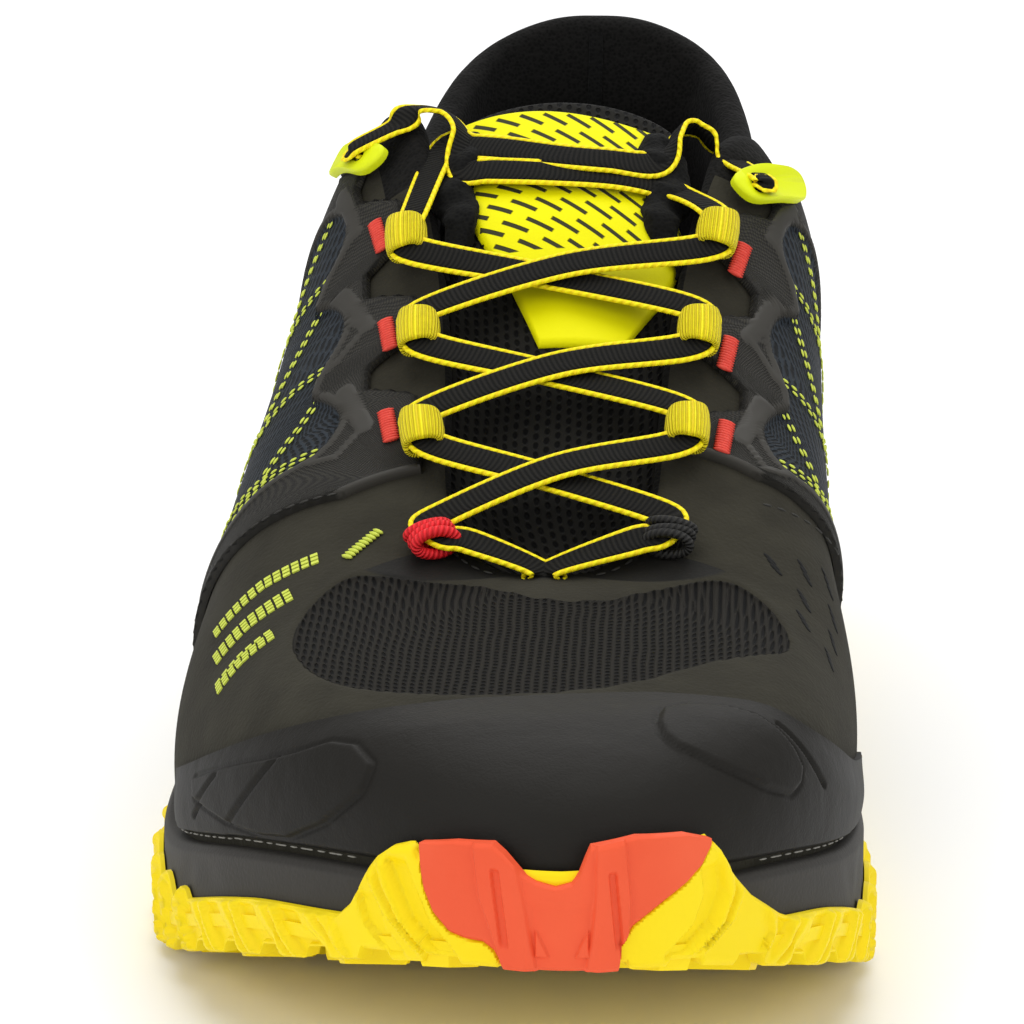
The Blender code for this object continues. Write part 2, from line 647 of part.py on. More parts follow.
def make_heel_counter():
    turns = np.linspace(-COUNTER_REACH, COUNTER_REACH, 17)
    turns = np.mod(turns, 1)
    high = COUNTER_CLIMB * (1 - 0.45 * (np.minimum(turns, 1 - turns) / COUNTER_REACH) ** 2)
    return make_patch(
        "heel_counter", turns, rim_climb(turns), high, 3, LAYER_GAP, LAYER_GAP + CAGE_WALL
    )


def throat_turn(share, side):
    """Turn of the rib whose top is at a share of the length."""
    dense = np.linspace(0.0, 0.5, 2001) if side == "lateral" else np.linspace(1.0, 0.5, 2001)
    return np.interp(share, top_share(dense), dense)


def tongue_station(share):
    """Outer face of the tongue across one station: lateral edge to medial edge."""
    blend = float(ease(0.50 - share, 0.0, 0.05))
    ends = []
    for side in ("lateral", "medial"):
        turn = throat_turn(max(share, 0.40), side)
        lip = upper_point(turn, 1.0, -(upper_wall(turn, 1.0) + TONGUE_GAP))
        deep = upper_point(turn, 0.88, -(upper_wall(turn, 0.88) + TONGUE_GAP))
        ends.append((deep, lip))
    return blend, ends


def tongue_points(share, parts):
    """Points across the tongue at one station."""
    blend, ends = tongue_station(share)
    (left_deep, left), (right_deep, right) = ends
    middle_x = INSTEP_CENTRE * BALL_WIDTH
    crown = np.interp(share, TONGUE_SHARES, TONGUE_CROWN) * COLLAR_HEIGHT
    width = np.interp(share, TONGUE_SHARES, TONGUE_WIDTH) * BALL_WIDTH
    y = float(place_y(share))
    follow = []
    for k in range(parts + 1):
        across = 2 * k / parts - 1
        x = middle_x + across * width
        z = crown - TONGUE_ROUND * across**2 * width
        follow.append((x, y, z))
    follow = np.array(follow)
    tucked = follow.copy()
    edge = 1 / (parts / 2)
    for k in range(parts + 1):
        across = 2 * k / parts - 1
        if across <= -1 + edge / 2:
            tucked[k] = left_deep
        elif across <= -1 + edge * 1.5:
            tucked[k] = left
        elif across >= 1 - edge / 2:
            tucked[k] = right_deep
        elif across >= 1 - edge * 1.5:
            tucked[k] = right
        else:
            t = (across + 1 - edge) / (2 - 2 * edge)
            slope_l, slope_r = left - left_deep, right_deep - right
            span = np.linalg.norm(right - left)
            slope_l = slope_l / np.linalg.norm(slope_l) * span * TONGUE_EASE
            slope_r = slope_r / np.linalg.norm(slope_r) * span * TONGUE_EASE
            tucked[k] = (
                (1 - t) ** 3 * left + 3 * (1 - t) ** 2 * t * (left + slope_l)
                + 3 * (1 - t) * t**2 * (right - slope_r) + t**3 * right
            )
    return tucked * (1 - blend) + follow * blend


def tongue_front(under):
    """Rows that carry the tongue's front end under the vamp."""
    share = TONGUE_STATIONS[0]
    side_l, side_m = throat_turn(share, "lateral"), throat_turn(share, "medial")
    turns = np.linspace(side_l + 0.012, side_m - 0.012, TONGUE_PARTS + 1)
    thick = TONGUE_THICK[-1] * MM if under else 0.0
    rows = []
    for climb in (0.86, 1.0):
        climbs = np.full(len(turns), climb)
        if climb == 1.0:
            climbs[0] = climbs[-1] = 0.94
        depth = UPPER_WALL + TONGUE_GAP + thick
        rows.append(upper_point(turns, climbs, -np.full(len(turns), depth)))
    return rows


def make_tongue():
    """Padded tongue under the throat, its edges beneath the upper."""
    skin = Skin()
    sheets = []
    shares = np.array(TONGUE_STATIONS)
    for under in (0, 1):
        sheet = [skin.row(row) for row in tongue_front(under)]
        for share in shares:
            points = tongue_points(share, TONGUE_PARTS)
            if under:
                points = points + tongue_down(share, TONGUE_PARTS)
            sheet.append(skin.row(points))
        sheets.append(sheet)
        for a, b in zip(sheet, sheet[1:]):
            skin.band(a, b, closed=False)
    for k in (0, -1):
        skin.band(sheets[0][k], sheets[1][k], closed=False)
    for end in (0, -1):
        skin.band(
            [row[end] for row in sheets[0]], [row[end] for row in sheets[1]], closed=False
        )
    return finish_solid("tongue", skin)


def tongue_down(share, parts):
    """From the tongue's outer face to its inner one."""
    points = tongue_points(share, parts)
    ahead = tongue_points(share + 0.004, parts)
    behind = tongue_points(share - 0.004, parts)
    across = np.gradient(points, axis=0)
    normal = np.cross(across, behind - ahead)
    normal /= np.linalg.norm(normal, axis=-1, keepdims=True)
    normal *= np.where(normal[:, 2] < 0, -1, 1)[:, None]
    thick = np.interp(share, TONGUE_SHARES, TONGUE_THICK) * MM
    return -normal * thick


def make_tongue_plate():
    skin = Skin()
    sheets = []
    for out in (LAYER_GAP, LAYER_GAP + PLATE_WALL):
        sheet = []
        for share, reach in PLATE_ROWS:
            parts = 24
            points = tongue_points(share, parts)
            down = tongue_down(share, parts)
            lift = -down / np.linalg.norm(down, axis=-1, keepdims=True)
            wanted = np.linspace(-reach, reach, 9)
            spots = np.linspace(-1, 1, parts + 1)
            whole = points + lift * out
            sheet.append(
                skin.row(np.stack([np.interp(wanted, spots, whole[:, i]) for i in range(3)], -1))
            )
        sheets.append(sheet)
        for a, b in zip(sheet, sheet[1:]):
            skin.band(a, b, closed=False)
    for k in (0, -1):
        skin.band(sheets[0][k], sheets[1][k], closed=False)
    for end in (0, -1):
        skin.band(
            [row[end] for row in sheets[0]], [row[end] for row in sheets[1]], closed=False
        )
    return finish_solid("tongue_plate", skin)


def edge_frame(share, side, inward):
    """Place and axes of a lace fitting at the throat's edge, inward from it."""
    turn = throat_turn(share, side)
    lip = upper_point(turn, 1.0)
    below = upper_point(turn, 0.93)
    normal = upper_normal(turn, 0.97)
    across = lip - below
    across -= normal * across.dot(normal)
    across /= np.linalg.norm(across)
    along = np.cross(normal, across)
    return lip + across * inward, across, along, normal


def make_ring(name, place, across, along, normal, wide, tall, length, strap, corner=0.35):
    """A strap bent into a closed loop, open along one axis."""
    middle = place + normal * tall / 2
    skin = Skin()
    loops = []
    for inset in (0.0, strap):
        for shift in (-0.5, 0.5):
            row = []
            for n in range(RING_SIDES):
                angle = 2 * math.pi * (n + 0.5) / RING_SIDES
                c, s = math.cos(angle), math.sin(angle)
                x = (wide / 2 - inset) * math.copysign(abs(c) ** corner, c)
                z = (tall / 2 - inset) * math.copysign(abs(s) ** corner, s)
                row.append(middle + across * x + normal * z + along * shift * length)
            loops.append(skin.row(row))
    skin.band(loops[0], loops[1])
    skin.band(loops[2], loops[3])
    skin.band(loops[0], loops[2])
    skin.band(loops[1], loops[3])
    return finish_solid(name, skin)


def make_lace_fittings():
    """Webbing loops at the throat's edge, cord loops at its foot and hooks at its top."""
    for number, share in enumerate(LOOP_SHARES, 1):
        for side in ("lateral", "medial"):
            place, across, along, normal = edge_frame(share, side, LOOP_INWARD)
            make_ring(
                "lace_loop_%s_%d" % (side, number), place + normal * LOOP_LIFT, across, along,
                normal, LOOP_WIDE, LOOP_TALL, LOOP_LENGTH, LOOP_STRAP,
            )
    for side in ("lateral", "medial"):
        place, across, along, normal = edge_frame(CORD_LOOP_SHARE, side, CORD_LOOP_INWARD)
        make_ring(
            "cord_loop_" + side, place + normal * CORD_LOOP_LIFT, across, along, normal,
            LOOP_WIDE, LOOP_TALL, LOOP_LENGTH * 0.8, LOOP_STRAP, 0.4,
        )
        place, across, along, normal = edge_frame(HOOK_SHARES[side], side, HOOK_INWARD)
        place = place + normal * HOOK_LIFT - along * HOOK_LONG / 2
        make_ring(
            "top_hook_" + side, place, across, normal, along,
            HOOK_WIDE, HOOK_LONG, HOOK_THICK, HOOK_STRAP, 0.5,
        )


def loop_middle(share, side, inward):
    """Middle of a lace loop and its axes."""
    place, across, along, normal = edge_frame(share, side, inward)
    forward = along if along[1] > 0 else -along
    return place + normal * (LOOP_LIFT + LOOP_TALL / 2), across, forward, normal


def bar_end(stop, side, ahead):
    """Where a lace bar stops, just inside a loop and a little ahead of or behind it."""
    middle, across, forward, _ = loop_middle(stop[0], side, stop[1])
    return middle + across * stop[2] + forward * ahead * BAR_SHIFT


def make_crossing(name, low, high, lift):
    """Two lace bars joined where they cross."""
    ends = [
        bar_end(low, "lateral", 1), bar_end(low, "medial", 1),
        bar_end(high, "medial", -1), bar_end(high, "lateral", -1),
    ]
    centre = sum(ends) / 4 + UP * lift
    headings = [(end - centre) / np.linalg.norm(end - centre) for end in ends]
    skin = Skin()
    half = LACE_WIDE / 2
    thick = UP * LACE_THICK / 2
    corners = []
    for i in range(4):
        a, b = headings[i], headings[(i + 1) % 4]
        spread = math.sqrt(max(1e-6, 1 - a.dot(b) ** 2))
        corners.append(centre + (a + b) * half / spread)
    top = skin.row([c + thick for c in corners])
    bottom = skin.row([c - thick for c in corners])
    skin.faces.append(tuple(top))
    skin.faces.append(tuple(bottom))
    for i in range(4):
        heading = headings[i]
        side = np.cross(UP, heading)
        side /= np.linalg.norm(side)
        root = [top[i - 1], top[i], bottom[i], bottom[i - 1]]
        length = np.linalg.norm(ends[i] - centre)
        for run in (7.0 * MM, 0.55 * length, length):
            point = centre + heading * run + UP * BAR_ARCH * math.sin(math.pi * run / length)
            low_side, high_side = point - side * half, point + side * half
            tip = skin.row([low_side + thick, high_side + thick, high_side - thick, low_side - thick])
            skin.band(root, tip)
            root = tip
        skin.faces.append(tuple(root))
    return finish_solid(name, skin)


def make_lace():
    """Crossings up the throat and the two bars at its foot."""
    stops = [(CORD_LOOP_SHARE, CORD_LOOP_INWARD, BAR_REACH)]
    stops += [(share, LOOP_INWARD, BAR_REACH) for share in LOOP_SHARES]
    stops += [(TOP_BAR_SHARE, HOOK_INWARD, HOOK_BAR_REACH)]
    for number in range(4):
        make_crossing(
            "lace_crossing_%d" % (number + 1), stops[number], stops[number + 1], CROSS_LIFT
        )


for old in list(bpy.data.objects):
    bpy.data.objects.remove(old, do_unlink=True)

make_outsole()
make_outsole_toe()
make_midsole()
make_insole()
make_upper()
make_tongue()
make_tongue_plate()
make_toe_cap()
make_cage("lateral")
make_cage("medial")
make_heel_counter()
make_lace_fittings()
make_lace()
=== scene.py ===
"""Looks of a trail running shoe for the right foot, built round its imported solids.

Frame as in the solids: metres, +Z up, toe towards -Y, heel towards +Y, big-toe side towards +X.
A place on the upper is given by turn (heel 0, lateral side, toe 0.5, medial side) and climb
(midsole's rim 0, edge of collar and throat 1).
"""

import json
import math
from collections import namedtuple

import bmesh
import bpy
import numpy as np
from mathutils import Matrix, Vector
from mathutils.kdtree import KDTree

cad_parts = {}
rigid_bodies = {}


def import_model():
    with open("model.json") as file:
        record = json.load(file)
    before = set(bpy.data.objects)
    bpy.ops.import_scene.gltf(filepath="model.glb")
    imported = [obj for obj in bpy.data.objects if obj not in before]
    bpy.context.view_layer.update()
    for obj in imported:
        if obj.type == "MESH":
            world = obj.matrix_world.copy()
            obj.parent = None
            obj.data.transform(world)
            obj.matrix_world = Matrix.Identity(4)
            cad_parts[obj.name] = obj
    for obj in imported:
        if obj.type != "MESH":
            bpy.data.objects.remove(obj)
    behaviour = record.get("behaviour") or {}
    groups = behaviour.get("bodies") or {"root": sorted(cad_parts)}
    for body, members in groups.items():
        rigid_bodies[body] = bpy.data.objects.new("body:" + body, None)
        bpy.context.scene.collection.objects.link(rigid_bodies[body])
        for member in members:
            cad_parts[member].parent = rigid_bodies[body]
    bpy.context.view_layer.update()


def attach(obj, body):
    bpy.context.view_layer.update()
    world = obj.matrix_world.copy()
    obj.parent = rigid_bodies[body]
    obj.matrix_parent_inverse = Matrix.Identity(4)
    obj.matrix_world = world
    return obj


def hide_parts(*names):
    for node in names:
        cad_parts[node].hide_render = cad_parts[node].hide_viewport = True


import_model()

MM = 0.001

# Driving sizes of the whole shoe
LENGTH = 290 * MM
BALL_WIDTH = 109 * MM
COLLAR_HEIGHT = 111 * MM
STACK_HEIGHT = 27 * MM

# Walls and layers
CLEARANCE = 0.3 * MM
UPPER_WALL = 2.2 * MM
COLLAR_PAD = 6.0 * MM
RIM_WALL = 2.9 * MM
OUTSOLE_WALL = 1.9 * MM
OUTSOLE_BASE = 2.2 * MM
LUG_DEPTH = 4.4 * MM
LUG_FADE = 0.62
TOE_CAP_WALL = 1.5 * MM

LUG_TAPER = 0.86
FLAT_HEEL = 0.13
FLAT_BALL = 0.715
TOE_PIECE_TOP = 0.052
TOE_PIECE_FOOT = 0.020
INSOLE_DISH = 1.2 * MM
LAYER_GAP = 0.5 * MM
RIM_RISE = 1.5 * MM
CAGE_GAP = 0.7 * MM
CAGE_WALL = 1.2 * MM

# Toe cap: top edge by turn of the loop
CAP_REACH = 0.168
CAP_TURNS = (0.325, 0.341, 0.375, 0.406, 0.445, 0.480, 0.504, 0.526, 0.547, 0.570, 0.597, 0.639, 0.67)
CAP_CLIMBS = (0.14, 0.18, 0.27, 0.37, 0.49, 0.59, 0.62, 0.61, 0.56, 0.50, 0.37, 0.22, 0.18)

# Midfoot panel by half-loop turn, from the front edge back. low 0 is the midsole's rim.
Finger = namedtuple("Finger", "turn low top")
CAGE_LATERAL = [
    Finger(0.312, 0.80, 0.96), Finger(0.305, 0.64, 0.96), Finger(0.299, 0.51, 0.96),
    Finger(0.292, 0.37, 0.95), Finger(0.287, 0.26, 0.84), Finger(0.282, 0.16, 0.84),
    Finger(0.278, 0.0, 0.96), Finger(0.271, 0.0, 0.96), Finger(0.266, 0.0, 0.84),
    Finger(0.260, 0.0, 0.84), Finger(0.256, 0.0, 0.95), Finger(0.248, 0.0, 0.95),
    Finger(0.242, 0.0, 0.84), Finger(0.237, 0.0, 0.83), Finger(0.232, 0.0, 0.89),
    Finger(0.222, 0.0, 0.87), Finger(0.210, 0.0, 0.81), Finger(0.197, 0.0, 0.74),
    Finger(0.182, 0.0, 0.64), Finger(0.165, 0.0, 0.54),
]
CAGE_MEDIAL = [
    Finger(0.303, 0.80, 0.96), Finger(0.299, 0.64, 0.96), Finger(0.294, 0.51, 0.95),
    Finger(0.289, 0.37, 0.84), Finger(0.284, 0.26, 0.84), Finger(0.280, 0.16, 0.95),
    Finger(0.273, 0.0, 0.96), Finger(0.268, 0.0, 0.84), Finger(0.262, 0.0, 0.84),
    Finger(0.258, 0.0, 0.95), Finger(0.249, 0.0, 0.95), Finger(0.244, 0.0, 0.84),
    Finger(0.239, 0.0, 0.83), Finger(0.234, 0.0, 0.89), Finger(0.224, 0.0, 0.87),
    Finger(0.211, 0.0, 0.81), Finger(0.198, 0.0, 0.74), Finger(0.183, 0.0, 0.64),
    Finger(0.165, 0.0, 0.54),
]
COUNTER_REACH = 0.11
COUNTER_CLIMB = 0.56

# Tongue: crown and width at shares of the length, thickness in millimetres
TONGUE_STATIONS = (0.690, 0.66, 0.62, 0.58, 0.54, 0.50, 0.47, 0.44, 0.415, 0.395, 0.378, 0.370)
TONGUE_SHARES = (0.36, 0.378, 0.40, 0.44, 0.50, 0.60, 0.72)
TONGUE_CROWN = (1.012, 1.004, 0.975, 0.920, 0.835, 0.69, 0.5)
TONGUE_WIDTH = (0.185, 0.19, 0.19, 0.185, 0.185, 0.18, 0.15)
TONGUE_THICK = (4.0, 6.5, 5.5, 3.4, 3.0, 3.0, 3.0)
TONGUE_GAP = 0.6 * MM
TONGUE_ROUND = 0.28
TONGUE_EASE = 0.36

# Lace and its fittings
LOOP_SHARES = (0.618, 0.548, 0.480)
CORD_LOOP_SHARE = 0.688
LOOP_INWARD = -1.5 * MM
CORD_LOOP_INWARD = -4.5 * MM
LOOP_LIFT = 2.2 * MM
CORD_LOOP_LIFT = 0.9 * MM
LOOP_WIDE = 9.0 * MM
LOOP_TALL = 4.8 * MM
LOOP_STRAP = 1.2 * MM
LACE_THICK = 1.3 * MM

Section = namedtuple(
    "Section", "share lateral medial ground bed bite_lateral bite_medial edge_lateral edge_medial"
)
# Share runs from heel to toe. Sides are shares of the ball width, heights of the stack height.
# ground is the underside of the lugs, bite the top of the midsole's rim, edge that of the outsole.
SECTIONS = [
    Section(0.024, -0.159, 0.245, 0.22, 1.02, 1.36, 1.36, 0.90, 0.90),
    Section(0.069, -0.267, 0.352, 0.12, 1.01, 1.35, 1.36, 0.80, 0.80),
    Section(0.138, -0.319, 0.401, 0.00, 1.00, 1.31, 1.33, 0.62, 0.62),
    Section(0.241, -0.324, 0.396, 0.00, 0.97, 1.22, 1.30, 0.55, 0.56),
    Section(0.345, -0.339, 0.382, 0.00, 0.90, 1.12, 1.27, 0.50, 0.54),
    Section(0.448, -0.389, 0.391, 0.00, 0.79, 0.98, 1.18, 0.46, 0.52),
    Section(0.552, -0.468, 0.431, 0.00, 0.66, 0.82, 1.02, 0.43, 0.48),
    Section(0.638, -0.504, 0.476, 0.00, 0.56, 0.70, 0.89, 0.41, 0.44),
    Section(0.707, -0.500, 0.498, 0.00, 0.52, 0.66, 0.85, 0.40, 0.43),
    Section(0.776, -0.458, 0.494, 0.15, 0.62, 0.78, 0.92, 0.47, 0.49),
    Section(0.845, -0.382, 0.466, 0.42, 0.82, 1.00, 1.05, 0.60, 0.60),
    Section(0.914, -0.261, 0.395, 0.68, 1.07, 1.20, 1.22, 0.81, 0.84),
    Section(0.945, -0.185, 0.340, 0.80, 1.18, 1.27, 1.28, 1.03, 1.05),
    Section(0.970, -0.107, 0.275, 0.90, 1.25, 1.31, 1.31, 1.50, 1.50),
]
HEEL_TIP = Section(0.0, 0.044, 0.044, 0.28, 1.02, 1.37, 1.37, 0.92, 0.92)
TOE_TIP = Section(1.0, 0.093, 0.093, 0.98, 1.29, 1.34, 1.34, 1.48, 1.48)

Rib = namedtuple("Rib", "foot top spread height rise bulge reach drop")
# One row for each line that runs from the sole up to the opening's edge.
# foot and top are shares of the length, spread, bulge and reach of the ball width,
# height, rise and drop of the collar height.
LATERAL_RIBS = [
    Rib(0.031, 0.048, -0.090, 0.986, 0.31, 0.046, -0.055, 0.216),
    Rib(0.076, 0.069, -0.183, 0.946, 0.30, 0.046, -0.037, 0.198),
    Rib(0.138, 0.117, -0.238, 0.892, 0.29, 0.037, -0.009, 0.180),
    Rib(0.214, 0.186, -0.275, 0.829, 0.27, 0.037, 0.009, 0.171),
    Rib(0.283, 0.262, -0.307, 0.811, 0.27, 0.046, 0.037, 0.162),
    Rib(0.345, 0.324, -0.312, 0.874, 0.29, 0.073, 0.064, 0.162),
    Rib(0.400, 0.366, -0.275, 0.973, 0.31, 0.101, 0.110, 0.150),
    Rib(0.448, 0.403, -0.234, 0.964, 0.31, 0.101, 0.165, 0.110),
    Rib(0.497, 0.448, -0.202, 0.883, 0.30, 0.090, 0.200, 0.081),
    Rib(0.559, 0.507, -0.174, 0.784, 0.29, 0.070, 0.220, 0.054),
    Rib(0.621, 0.572, -0.156, 0.685, 0.27, 0.050, 0.230, 0.036),
    Rib(0.690, 0.634, -0.147, 0.595, 0.25, 0.046, 0.250, 0.027),
    Rib(0.766, 0.676, -0.124, 0.541, 0.23, 0.037, 0.270, 0.018),
    Rib(0.845, 0.700, -0.083, 0.514, 0.22, 0.028, 0.330, 0.018),
    Rib(0.924, 0.709, -0.041, 0.505, 0.20, 0.023, 0.430, 0.027),
]
MEDIAL_RIBS = [
    Rib(0.031, 0.048, 0.150, 0.986, 0.31, 0.046, -0.055, 0.216),
    Rib(0.076, 0.069, 0.238, 0.946, 0.30, 0.046, -0.037, 0.198),
    Rib(0.138, 0.117, 0.284, 0.892, 0.29, 0.037, -0.009, 0.180),
    Rib(0.214, 0.186, 0.303, 0.829, 0.27, 0.037, 0.009, 0.171),
    Rib(0.283, 0.262, 0.307, 0.811, 0.28, 0.056, 0.037, 0.162),
    Rib(0.345, 0.324, 0.316, 0.865, 0.30, 0.083, 0.064, 0.150),
    Rib(0.400, 0.374, 0.289, 0.946, 0.31, 0.110, 0.119, 0.120),
    Rib(0.448, 0.412, 0.248, 0.946, 0.31, 0.115, 0.180, 0.090),
    Rib(0.497, 0.457, 0.211, 0.874, 0.30, 0.110, 0.211, 0.054),
    Rib(0.559, 0.517, 0.183, 0.775, 0.29, 0.090, 0.229, 0.045),
    Rib(0.621, 0.581, 0.165, 0.676, 0.27, 0.064, 0.239, 0.036),
    Rib(0.690, 0.645, 0.156, 0.590, 0.24, 0.046, 0.257, 0.027),
    Rib(0.766, 0.683, 0.128, 0.541, 0.23, 0.037, 0.270, 0.018),
    Rib(0.845, 0.703, 0.083, 0.514, 0.22, 0.028, 0.330, 0.018),
    Rib(0.924, 0.709, 0.041, 0.505, 0.20, 0.023, 0.430, 0.027),
]
HEEL_RIB = Rib(0.0, 0.041, 0.030, 1.0, 0.31, 0.046, -0.064, 0.216)
TOE_RIB = Rib(1.0, 0.710, 0.0, 0.505, 0.19, 0.018, 0.532, 0.036)
INSTEP_CENTRE = 0.044

# Sizes of the looks alone
TAU = 2 * math.pi
FINE_COLUMNS = 260
FINE_ROWS = 84
COLLAR_ROWS = 8
KNIT_RIB = 1.2 * MM
KNIT_PITCH = 1.25 * MM
CAGE_PITCH = 0.95 * MM
PLATE_ROW = 2.5 * MM
PLATE_DASH = 7.2 * MM
PLATE_LEAN = 36
TOOTH_PITCH = 11.5 * MM
TOOTH_TALL = 4.2 * MM
SOLE_LEAN = 7.0 * MM
LUG_ROWS = 24
LUG_STEP = 12.5 * MM
LUG_LONG = 9.0 * MM
EDGE_CORD = 0.85 * MM
LACE_BAND = 6.4 * MM
LACE_POINTS = 900
BARTACK_THREADS = 13
LOOP_HALF = 2.6 * MM
LOOP_SKEW = -1.0 * MM
LOOP_LONG = 8.2 * MM
HOOK_SEAT = 2.3 * MM
# Millimetres to a turn and to a climb round the hooks
HOOK_STRETCH = (200, 26)
GLUE_PITCH = 2.2 * MM
# Half the width of the floor, in metres
FLOOR_HALF = 6.0
CAMERA_PLACE = (0.0243, -0.625, 0.214)
CAMERA_PITCH = 14.7
CAMERA_YAW = 2.45
CAMERA_LENS = 140.625

# Outline of the vamp's mesh panel, as turns and climbs
MESH_PANEL = [
    (0.367, 0.60), (0.348, 0.76), (0.357, 0.84), (0.393, 0.94), (0.435, 0.955), (0.478, 0.95),
    (0.543, 0.92), (0.607, 0.91), (0.645, 0.83), (0.640, 0.69), (0.622, 0.58), (0.590, 0.65),
    (0.557, 0.69), (0.516, 0.66), (0.483, 0.63), (0.425, 0.55), (0.395, 0.56),
]
CAP_PLATES = [
    [
        (0.348, 0.15), (0.375, 0.205), (0.402, 0.26), (0.432, 0.36),
        (0.442, 0.27), (0.408, 0.07), (0.385, 0.06),
    ],
    [
        (0.533, 0.54), (0.564, 0.47), (0.582, 0.34), (0.592, 0.24),
        (0.585, 0.19), (0.540, 0.36), (0.530, 0.44),
    ],
]
CAP_GROOVES = [
    [(0.371, 0.19), (0.356, 0.08)], [(0.401, 0.26), (0.378, 0.08)], [(0.579, 0.40), (0.606, 0.20)],
]
# Midfoot panel, in turns of the lateral side; the medial side mirrors them
WINDOW = [
    (0.280, 0.24), (0.286, 0.42), (0.291, 0.58), (0.297, 0.73), (0.291, 0.79), (0.284, 0.74),
    (0.280, 0.69), (0.276, 0.71), (0.270, 0.79), (0.262, 0.76), (0.256, 0.68), (0.252, 0.71),
    (0.247, 0.79), (0.240, 0.79), (0.232, 0.70), (0.224, 0.56), (0.220, 0.40), (0.228, 0.26),
    (0.250, 0.20), (0.268, 0.19),
]
CHEVRONS = [
    [(0.296, 0.84), (0.3005, 0.78), (0.298, 0.72)],
    [(0.273, 0.84), (0.277, 0.76), (0.277, 0.71)],
    [(0.248, 0.82), (0.251, 0.76), (0.252, 0.72)],
]
CHEVRON_STRIPES = [
    [(0.285, 0.79), (0.296, 0.84)], [(0.261, 0.78), (0.273, 0.84)], [(0.235, 0.79), (0.248, 0.82)],
]
# Route and how many rows of dashes run along it
WINDOW_LINES = [
    ([(0.278, 0.24), (0.284, 0.42), (0.289, 0.58), (0.2955, 0.73)], 3),
    ([(0.286, 0.56), (0.284, 0.66), (0.280, 0.74)], 2),
    ([(0.288, 0.58), (0.278, 0.40), (0.266, 0.22)], 2),
    ([(0.270, 0.22), (0.262, 0.34)], 2),
    ([(0.246, 0.24), (0.238, 0.34)], 2),
    ([(0.256, 0.21), (0.262, 0.34), (0.268, 0.52), (0.275, 0.73)], 2),
    ([(0.266, 0.52), (0.261, 0.64), (0.256, 0.73)], 2),
    ([(0.268, 0.52), (0.256, 0.38), (0.243, 0.24)], 2),
    ([(0.232, 0.23), (0.238, 0.34), (0.244, 0.52), (0.251, 0.73)], 2),
    ([(0.244, 0.54), (0.238, 0.64), (0.235, 0.74)], 2),
]
# Turn and climb of the red bars of stitches
BARTACKS = {
    "lateral": [(0.2985, 0.895), (0.2775, 0.890), (0.2535, 0.885)],
    "medial": [(0.298, 0.885), (0.279, 0.890), (0.258, 0.895)],
}
SEAM_LINES = [
    ([(0.300, 0.50), (0.306, 0.64), (0.313, 0.80)], CAGE_GAP + CAGE_WALL + 0.25 * MM),
    (
        [(0.226, 0.84), (0.212, 0.79), (0.198, 0.72), (0.184, 0.62), (0.168, 0.52)],
        CAGE_GAP + CAGE_WALL - 0.1 * MM,
    ),
    ([(0.335, 0.97), (0.36, 0.975), (0.40, 0.985)], 0.6 * MM),
    ([(0.215, 0.91), (0.190, 0.86), (0.150, 0.82), (0.100, 0.84), (0.050, 0.86), (0.004, 0.87)], 0.15 * MM),
]
FOREFOOT_BARS = [
    ([(0.322, 0.44), (0.325, 0.60), (0.331, 0.74)], 3),
    ([(0.333, 0.42), (0.336, 0.54), (0.341, 0.66)], 4),
    ([(0.346, 0.38), (0.350, 0.48), (0.356, 0.58)], 4),
]
VAMP_TACK = [(0.339, 0.79), (0.331, 0.87)]
SLITS = [
    (0.669, 0.73), (0.678, 0.64), (0.664, 0.62), (0.651, 0.60), (0.687, 0.54), (0.676, 0.51),
    (0.664, 0.49), (0.650, 0.48),
]
# Shallow creases of the midsole's side: turn, slant, depth in millimetres
CREASES = [
    (0.352, 0.6, 0.25), (0.366, -0.5, 0.2), (0.645, 0.5, 0.25), (0.632, -0.6, 0.2), (0.22, 1.0, 0.2),
    (0.78, -1.0, 0.2),
]
# Outsole's top edge round the toe: turn and height in millimetres
SOLE_TOP = [
    (0.385, 17.5), (0.399, 20.5), (0.411, 23.0), (0.419, 26.0), (0.4275, 30.5), (0.430, 33.0),
    (0.433, 36.0), (0.436, 38.0), (0.441, 40.0), (0.446, 41.0), (0.451, 41.5), (0.500, 41.5),
    (0.5545, 42.5), (0.5595, 40.0), (0.5635, 36.5), (0.571, 32.5), (0.5835, 28.0), (0.593, 25.5),
]
# Ridges and grooves of the flanks beside the toe piece: turns by height, half width, relief in millimetres
SOLE_GROOVES = [
    ([(0.456, 26.5), (0.4455, 30.5), (0.4405, 34.5), (0.438, 38.0)], 0.35, 0.8),
    ([(0.452, 26.5), (0.4415, 30.5), (0.4365, 34.0), (0.4350, 36.0)], 0.35, 0.8),
    ([(0.461, 27.0), (0.4505, 31.0), (0.446, 35.0), (0.4425, 38.5)], 1.3, -0.9),
    ([(0.4445, 25.0), (0.4360, 28.5), (0.4330, 32.5)], 1.2, -0.8),
    ([(0.430, 21.5), (0.4240, 24.0), (0.4215, 26.5)], 0.35, 0.7),
    ([(0.547, 27.0), (0.5575, 30.5), (0.5615, 34.5), (0.5590, 40.0)], 0.35, 0.8),
    ([(0.551, 27.0), (0.5615, 30.5), (0.5650, 34.0), (0.5630, 37.0)], 0.35, 0.8),
    ([(0.541, 27.5), (0.5520, 31.0), (0.5560, 35.0), (0.5545, 38.5)], 1.2, -0.8),
    ([(0.572, 23.5), (0.5790, 26.5), (0.5765, 30.5)], 0.4, 0.8),
]
